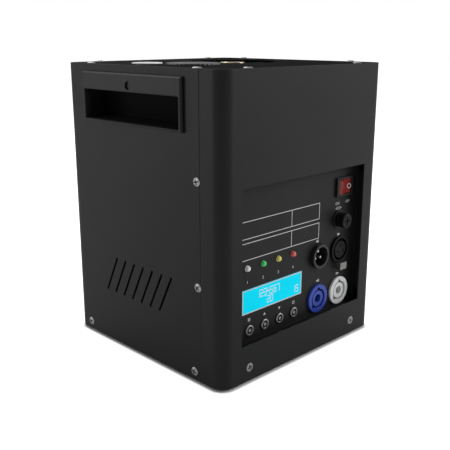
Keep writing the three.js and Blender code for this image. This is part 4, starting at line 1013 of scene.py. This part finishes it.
# Contacts in the sockets, in millimetres and degrees. Roots lie behind the tray's front face.
CONTACT_RING, CONTACT_ANGLES, CONTACT_SIDES = 4.0, (90, 210, 330), 24
PIN_ROOT = 5.8
PIN_PROFILE = [(0, 0), (1.27, 0), (1.27, 5.3), (1.22, 5.8), (0.95, 6.15), (0.5, 6.3), (0, 6.32)]
SLEEVE_INNER, SLEEVE_OUTER, SLEEVE_LENGTH, SLEEVE_SINK = 0.75, 1.2, 0.9, 2.0
TONGUE_LOW, TONGUE_HIGH, TONGUE_EDGE = (-1.6, -0.3, 0), (1.6, 0.3, 8), 0.15
TONGUE_RING, TONGUE_ANGLES, TONGUE_ROOT = 8.35, (0, 150, 210), 11.6


def places_round(node, y, radius, angles, outward=False):
    """Places in a ring about a node's middle, facing the front, and turned outward if asked."""
    middle = centre_of(node)
    places = []
    for angle in angles:
        a = math.radians(angle)
        x, z = middle.x + radius * MM * math.cos(a), middle.z + radius * MM * math.sin(a)
        places.append(at("front", x, y, z, angle + 90 if outward else 0))
    return places


def make_contacts():
    pin = as_mesh("contact_pin", turned(PIN_PROFILE, CONTACT_SIDES))
    places = places_round("data_inlet", PANEL_Y + PIN_ROOT * MM, CONTACT_RING, CONTACT_ANGLES)
    show_several("data_pins", pin, places, "nickel")
    ring = washer(SLEEVE_INNER, SLEEVE_OUTER, SLEEVE_LENGTH)
    sleeve = as_mesh("contact_sleeve", turned(ring, CONTACT_SIDES))
    front = low_of("data_outlet").y + SLEEVE_SINK * MM
    places = places_round("data_outlet", front, CONTACT_RING, CONTACT_ANGLES)
    show_several("data_sleeves", sleeve, places, "brass")
    bm = bmesh.new()
    block(bm, Vector(TONGUE_LOW) * MM, Vector(TONGUE_HIGH) * MM)
    round_edges(bm, TONGUE_EDGE * MM)
    tongue = as_mesh("contact_tongue", bm)
    root = PANEL_Y + TONGUE_ROOT * MM
    places = []
    for node in ("power_inlet", "power_outlet"):
        places += places_round(node, root, TONGUE_RING, TONGUE_ANGLES, outward=True)
    show_several("power_contacts", tongue, places, "brass")


make_contacts()


# Round pieces, drawn again with more sides than their solids. A form is a number of sides and a
# profile of (radius, height) in millimetres. On the panel, heights are measured from the tray's front
# face towards the viewer.
def show_round(node, form, place, cutters=()):
    """Shows a turned mesh in a node's place, less some cutting meshes."""
    sides, profile = form
    mesh = as_mesh(node + "_fine", placed(turned(profile, sides), place))
    for cutter in cutters:
        mesh = carved(mesh, cutter)
    smooth(mesh)
    show_in_place_of(node, mesh, "_fine")


def on_panel(node, turn=0):
    middle = centre_of(node)
    return at("front", middle.x, PANEL_Y, middle.z, turn)


def cutting_block(place, low, high):
    bm = bmesh.new()
    block(bm, Vector(low) * MM, Vector(high) * MM)
    return as_mesh("cutter", placed(bm, place))


def cutting_rod(place, radius, low, high, sides):
    bm = turned([(0, low), (radius, low), (radius, high), (0, high)], sides)
    return as_mesh("cutter", placed(bm, place))


LAMP = 40, [
    (0, -13.9), (2, -13.9), (2, -2.5), (3.3, -2.5), (3.3, -1.5), (2.5, -1.5), (2.5, 0.1), (2.2, 0.2),
    (2.2, 1.1), (2.1, 1.5), (1.85, 1.9), (1.4, 2.2), (0.75, 2.36), (0, 2.4),
]
RING = 48, [
    (3, -2.7), (3.7, -2.7), (3.7, 0.3), (4.5, 0.3), (4.5, 0.85), (4.4, 1.1), (4.15, 1.28), (3.9, 1.3),
    (3.15, 1.3), (3.0, 1.15), (3, -2.7),
]
PLUNGER = 32, [
    (0, -6.7), (1.2, -6.7), (1.2, -4.2), (3, -4.2), (3, -3), (1.6, -3), (1.6, 1.05), (1.5, 1.22),
    (1.3, 1.3), (0, 1.3),
]
FUSE_HOLDER = 64, [
    (0, -26), (6.3, -26), (6.3, 0.3), (8.25, 0.3), (8.25, 1.15), (8.1, 1.4), (7.8, 1.5), (5.15, 1.5),
    (5, 1.35), (5, -24), (0, -24),
]
FUSE_CAP = 64, [
    (0, 1.8), (6.6, 1.8), (6.6, 9.2), (6.45, 9.65), (6.1, 9.92), (5.8, 10), (0, 10),
]
DATA_INLET = 72, [
    (0, -9.3), (9.4, -9.3), (9.4, 0.3), (10.75, 0.3), (10.75, 3.7), (10.62, 4.05), (10.3, 4.2),
    (8.6, 4.2), (8.35, 4.1), (8.25, 3.85), (8.25, -6.3), (0, -6.3),
]
DATA_OUTLET = 72, [
    (0, -14.5), (10.6, -14.5), (10.6, 0.3), (12, 0.3), (12, 1.95), (11.85, 2.35), (11.5, 2.5),
    (9.95, 2.5), (9.75, 2.3), (9.75, -11.5), (7.75, -11.5), (7.75, 1.8), (7.62, 2.1), (7.3, 2.2), (0, 2.2),
]
POWER = 72, [
    (0, -22), (11, -22), (11, 0.3), (12.75, 0.3), (12.75, 1.6), (12.55, 2.1), (12.1, 2.3), (8.95, 2.3),
    (8.75, 2.1), (8.75, -11.7), (7.25, -11.7), (7.25, 1.25), (7.1, 1.6), (6.8, 1.7), (4.1, 1.7),
    (3.85, 1.6), (3.75, 1.35), (3.75, -11.7), (0, -11.7),
]

# The crossed slots in the fuse cap, the contact holes in the data outlet, and the two keyways in
# each power socket, as corners and as angles in degrees
SLOT_REACH, SLOT_HALF, SLOT_FLOOR, SLOT_TOP = 4.0, 0.6, 8.8, 12
HOLE_RADIUS, HOLE_FLOOR, HOLE_TOP, HOLE_SIDES = 1.3, -3.5, 4, 24
KEY_LOW, KEY_HIGH = (7.0, -1.5, -11.4), (10.35, 1.5, 4.3)
KEY_ANGLES = (90, 220.5)


def make_panel_rounds():
    for i in range(1, 5):
        for stem, form in (("status_lamp_", LAMP), ("button_ring_", RING), ("button_", PLUNGER)):
            node = stem + str(i)
            show_round(node, form, on_panel(node))
    show_round("fuse_holder", FUSE_HOLDER, on_panel("fuse_holder"))
    place = on_panel("fuse_cap")
    slots = [
        cutting_block(place, (-x, -y, SLOT_FLOOR), (x, y, SLOT_TOP))
        for x, y in ((SLOT_REACH, SLOT_HALF), (SLOT_HALF, SLOT_REACH))
    ]
    show_round("fuse_cap", FUSE_CAP, place, slots)
    show_round("data_inlet", DATA_INLET, on_panel("data_inlet"))
    holes = [
        cutting_rod(hole, HOLE_RADIUS, HOLE_FLOOR, HOLE_TOP, HOLE_SIDES)
        for hole in places_round("data_outlet", PANEL_Y, CONTACT_RING, CONTACT_ANGLES)
    ]
    show_round("data_outlet", DATA_OUTLET, on_panel("data_outlet"), holes)
    for node in ("power_inlet", "power_outlet"):
        keys = [cutting_block(on_panel(node, angle), KEY_LOW, KEY_HIGH) for angle in KEY_ANGLES]
        show_round(node, POWER, on_panel(node), keys)


# Round pieces on the top. Heights are measured from the top face, the dish's from its rim, the nozzle
# tube's from its foot, and those of the tube's lip from the lip.
DISH_MOUTH, DISH_FLOOR, DISH_FLANGE, DISH_THROAT = 38.0, 24.0, 43.0, 13.5
DISH_DEPTH, DISH_WALL = 24.0, 1.2
DISH_STEPS, DISH_SIDES = 14, 96
CAP_RADIUS, CAP_LOW, CAP_HIGH = 21.5, 0.3, 1.7
CAP_FLUTES, FLUTE_POINTS, FLUTE_DEPTH = 36, 6, 0.5
CAP_EDGE = ((CAP_LOW, 0), (CAP_HIGH - 0.35, 0), (CAP_HIGH - 0.1, 0.12), (CAP_HIGH, 0.4))
PLUG_RADIUS, PLUG_LOW, PLUG_HIGH, PLUG_SIDES = 10.7, -11, 1.0, 48
TUBE_FOOT = [(8.5, 0), (19, 0), (19, 2.8), (18.8, 3), (11, 3)]
TUBE_LIP = [(11, -0.8), (10.8, -0.25), (10.4, 0), (9.0, 0), (8.65, -0.15), (8.5, -0.5)]
TUBE_SIDES = 72
PORT_START, PORT_LENGTH, PORT_RADIUS, PORT_RISE, PORT_SIDES = -13, 13, 7, 12, 32
TAG_PLUG, TAG_SIDES = 9.6, 64
TAG_EDGE = [(TAG_PLUG, 0.3), (12.5, 0.3), (12.5, 0.62), (12.38, 0.88), (12.1, 1.0), (0, 1.0)]
TOP_EDGE = 0.2
TOP_HOLES = (("nozzle_tube", 38.0), ("filler_cap", 15.7), ("tag_window", 9.9))
TOP_HOLE_LOW, TOP_HOLE_HIGH, TOP_HOLE_SIDES = -3, 2, 96


def dish_profile():
    inner = []
    outer = []
    for i in range(DISH_STEPS + 1):
        angle = math.radians(90 * i / DISH_STEPS)
        r = DISH_MOUTH - (DISH_MOUTH - DISH_FLOOR) * (1 - math.cos(angle))
        h = -DISH_DEPTH * math.sin(angle)
        inner.append((r, h))
        outer.append((r + DISH_WALL * math.cos(angle), h - DISH_WALL * math.sin(angle)))
    low = -DISH_DEPTH
    return [
        (DISH_THROAT, low - DISH_WALL), *outer[:0:-1], (DISH_MOUTH + DISH_WALL, -DISH_WALL),
        (DISH_FLANGE, -DISH_WALL), (DISH_FLANGE, 0), *inner, (DISH_THROAT, low),
        (DISH_THROAT, low - DISH_WALL),
    ]


def fluted_disc():
    """The filler cap's lid, with a wavy edge."""
    bm = bmesh.new()
    count = CAP_FLUTES * FLUTE_POINTS
    rings = []
    for z, inset in CAP_EDGE:
        ring = []
        for i in range(count):
            angle = math.tau * i / count
            wave = 0.5 - 0.5 * math.cos(angle * CAP_FLUTES)
            ring.append(ring_point(bm, CAP_RADIUS - inset - FLUTE_DEPTH * wave, z, angle))
        rings.append(ring)
    skin(bm, rings, count)
    bm.faces.new(rings[0][::-1])
    bm.faces.new(rings[-1])
    return bm


def on_top(node):
    middle = centre_of(node)
    return at("top", middle.x, middle.y, CASE_TOP)


def make_top_rounds():
    nozzle = centre_of("nozzle_tube")
    place = at("top", nozzle.x, nozzle.y, high_of("nozzle_dish").z)
    show_round("nozzle_dish", (DISH_SIDES, dish_profile()), place)
    foot = low_of("nozzle_tube").z
    tall = (NOZZLE_TOP - foot) / MM
    tube = [*TUBE_FOOT, *[(radius, tall + height) for radius, height in TUBE_LIP], TUBE_FOOT[0]]
    side = at("right", nozzle.x + PORT_START * MM, nozzle.y, low_of("feed_tube").z + PORT_RISE * MM)
    port = cutting_rod(side, PORT_RADIUS, 0, PORT_LENGTH, PORT_SIDES)
    show_round("nozzle_tube", (TUBE_SIDES, tube), at("top", nozzle.x, nozzle.y, foot), [port])
    lid = fluted_disc()
    place = on_top("filler_cap")
    bmesh.ops.transform(lid, matrix=place, verts=lid.verts)
    plug = cutting_rod(place, PLUG_RADIUS, PLUG_LOW, PLUG_HIGH, PLUG_SIDES)
    lid_mesh = carved(as_mesh("lid", lid), plug, "UNION")
    smooth(lid_mesh)
    show_in_place_of("filler_cap", lid_mesh, "_fine")
    foot = (low_of("tag_window").z - CASE_TOP) / MM
    tag = [(0, foot), (TAG_PLUG, foot), *TAG_EDGE]
    show_round("tag_window", (TAG_SIDES, tag), on_top("tag_window"))
    plate = dressed_mesh("top_plate", TOP_EDGE * MM)
    for node, radius in TOP_HOLES:
        rod = cutting_rod(on_top(node), radius, TOP_HOLE_LOW, TOP_HOLE_HIGH, TOP_HOLE_SIDES)
        plate = carved(plate, rod)
    smooth(plate)
    show_in_place_of("top_plate", plate, "_fine")


make_panel_rounds()
make_top_rounds()


# Nodes shown with softened edges, and the width of each one's broken edge in millimetres. The
# others are shown as their own solids or by the finer meshes above.
EDGES = {
    "front_shell": 0.35, "rear_shell": 0.35, "base_tray": 0.3, "control_tray": 0.25,
    "left_handle": 0.35, "right_handle": 0.35, "rocker_housing": 0.3, "power_rocker": 0.35,
    "release_latch": 0.3,
}
for node, width in EDGES.items():
    dress(node, width * MM)
for node, thing in NODES.items():
    thing.data.materials.clear()
    thing.data.materials.append(FINISHES[finish_name(node)])
    if node not in EDGES:
        thing.data.shade_smooth()
        thing.data.set_sharp_from_angle(angle=SMOOTH_ANGLE)


# Floor, light and background. Metres and watts. The floor glows outside the case's rounded outline,
# from GLOW_START to GLOW_FULL beyond a square of half width CORNER_CENTRE.
FLOOR_REACH, FLOOR_GLOW = 6.0, 0.75
FLOOR_TONES = (0.9, 0.9, 0.9), (0.91, 0.91, 0.91)
CORNER_CENTRE, GLOW_START, GLOW_FULL = 0.0855, 0.0112, 0.0135
FILL_LEVEL, MIRROR_LEVEL = 0.45, 0.3
LIGHT_AIM = (0, 0, 0.12)
# Each light: name, place, side of its square and power
LIGHTS = (
    ("side", (1.3, -1.2, 0.9), 1.0, 18),
    ("back", (0.3, 1.3, 1.5), 1.2, 14),
    ("above", (0, 0, 1.6), 1.0, 3),
    ("behind_left", (-1.5, 1.3, 0.3), 0.8, 6),
)


def is_ray(tree, kind):
    """A wire that is 1 for rays of one kind: Camera, Glossy or Transmission."""
    return Wire(tree).make("ShaderNodeLightPath", output="Is %s Ray" % kind)


def make_surround():
    """White for the camera, one grey for mirror-like and clear surfaces, one for the rest."""
    world = bpy.data.worlds.new("surround")
    bpy.context.scene.world = world
    world.use_nodes = True
    tree = world.node_tree
    root = Wire(tree)
    background = tree.nodes["Background"]
    camera = is_ray(tree, "Camera")
    mirror = root.math("MAXIMUM", is_ray(tree, "Glossy"), is_ray(tree, "Transmission"))
    level = camera + mirror * MIRROR_LEVEL + (1 - camera) * (1 - mirror) * FILL_LEVEL
    root.feed(background.inputs["Color"], WHITE)
    root.feed(background.inputs["Strength"], level)


def make_floor():
    bm = bmesh.new()
    strip(bm, -FLOOR_REACH, FLOOR_REACH, -FLOOR_REACH, FLOOR_REACH)
    mesh = as_mesh("floor", bm)
    f = Finish("floor_paper", FLOOR_TONES[0], 0.9, specular=0.0)
    f.put("Base Color", f.noise(12).mix(*FLOOR_TONES))
    past = [f.math("MAXIMUM", f.math("ABSOLUTE", f.axis(i)) - CORNER_CENTRE) for i in (0, 1)]
    reach = f.math("SQRT", past[0] * past[0] + past[1] * past[1])
    f.put("Emission Color", WHITE)
    f.put("Emission Strength", is_ray(f.tree, "Camera") * reach.span(GLOW_START, GLOW_FULL, FLOOR_GLOW))
    mesh.materials.append(f.material)
    floor = new_object("floor", mesh)


def make_light(name, place, side, power):
    data = bpy.data.lights.new(name, "AREA")
    data.shape = "SQUARE"
    data.size = side
    data.energy = power
    lamp = new_object(name, data)
    lamp.location = place
    aim = Vector(LIGHT_AIM) - Vector(place)
    lamp.rotation_euler = aim.to_track_quat("-Z", "Y").to_euler()


make_surround()
make_floor()
for light in LIGHTS:
    make_light(*light)

bpy.context.scene.view_settings.view_transform = "Standard"
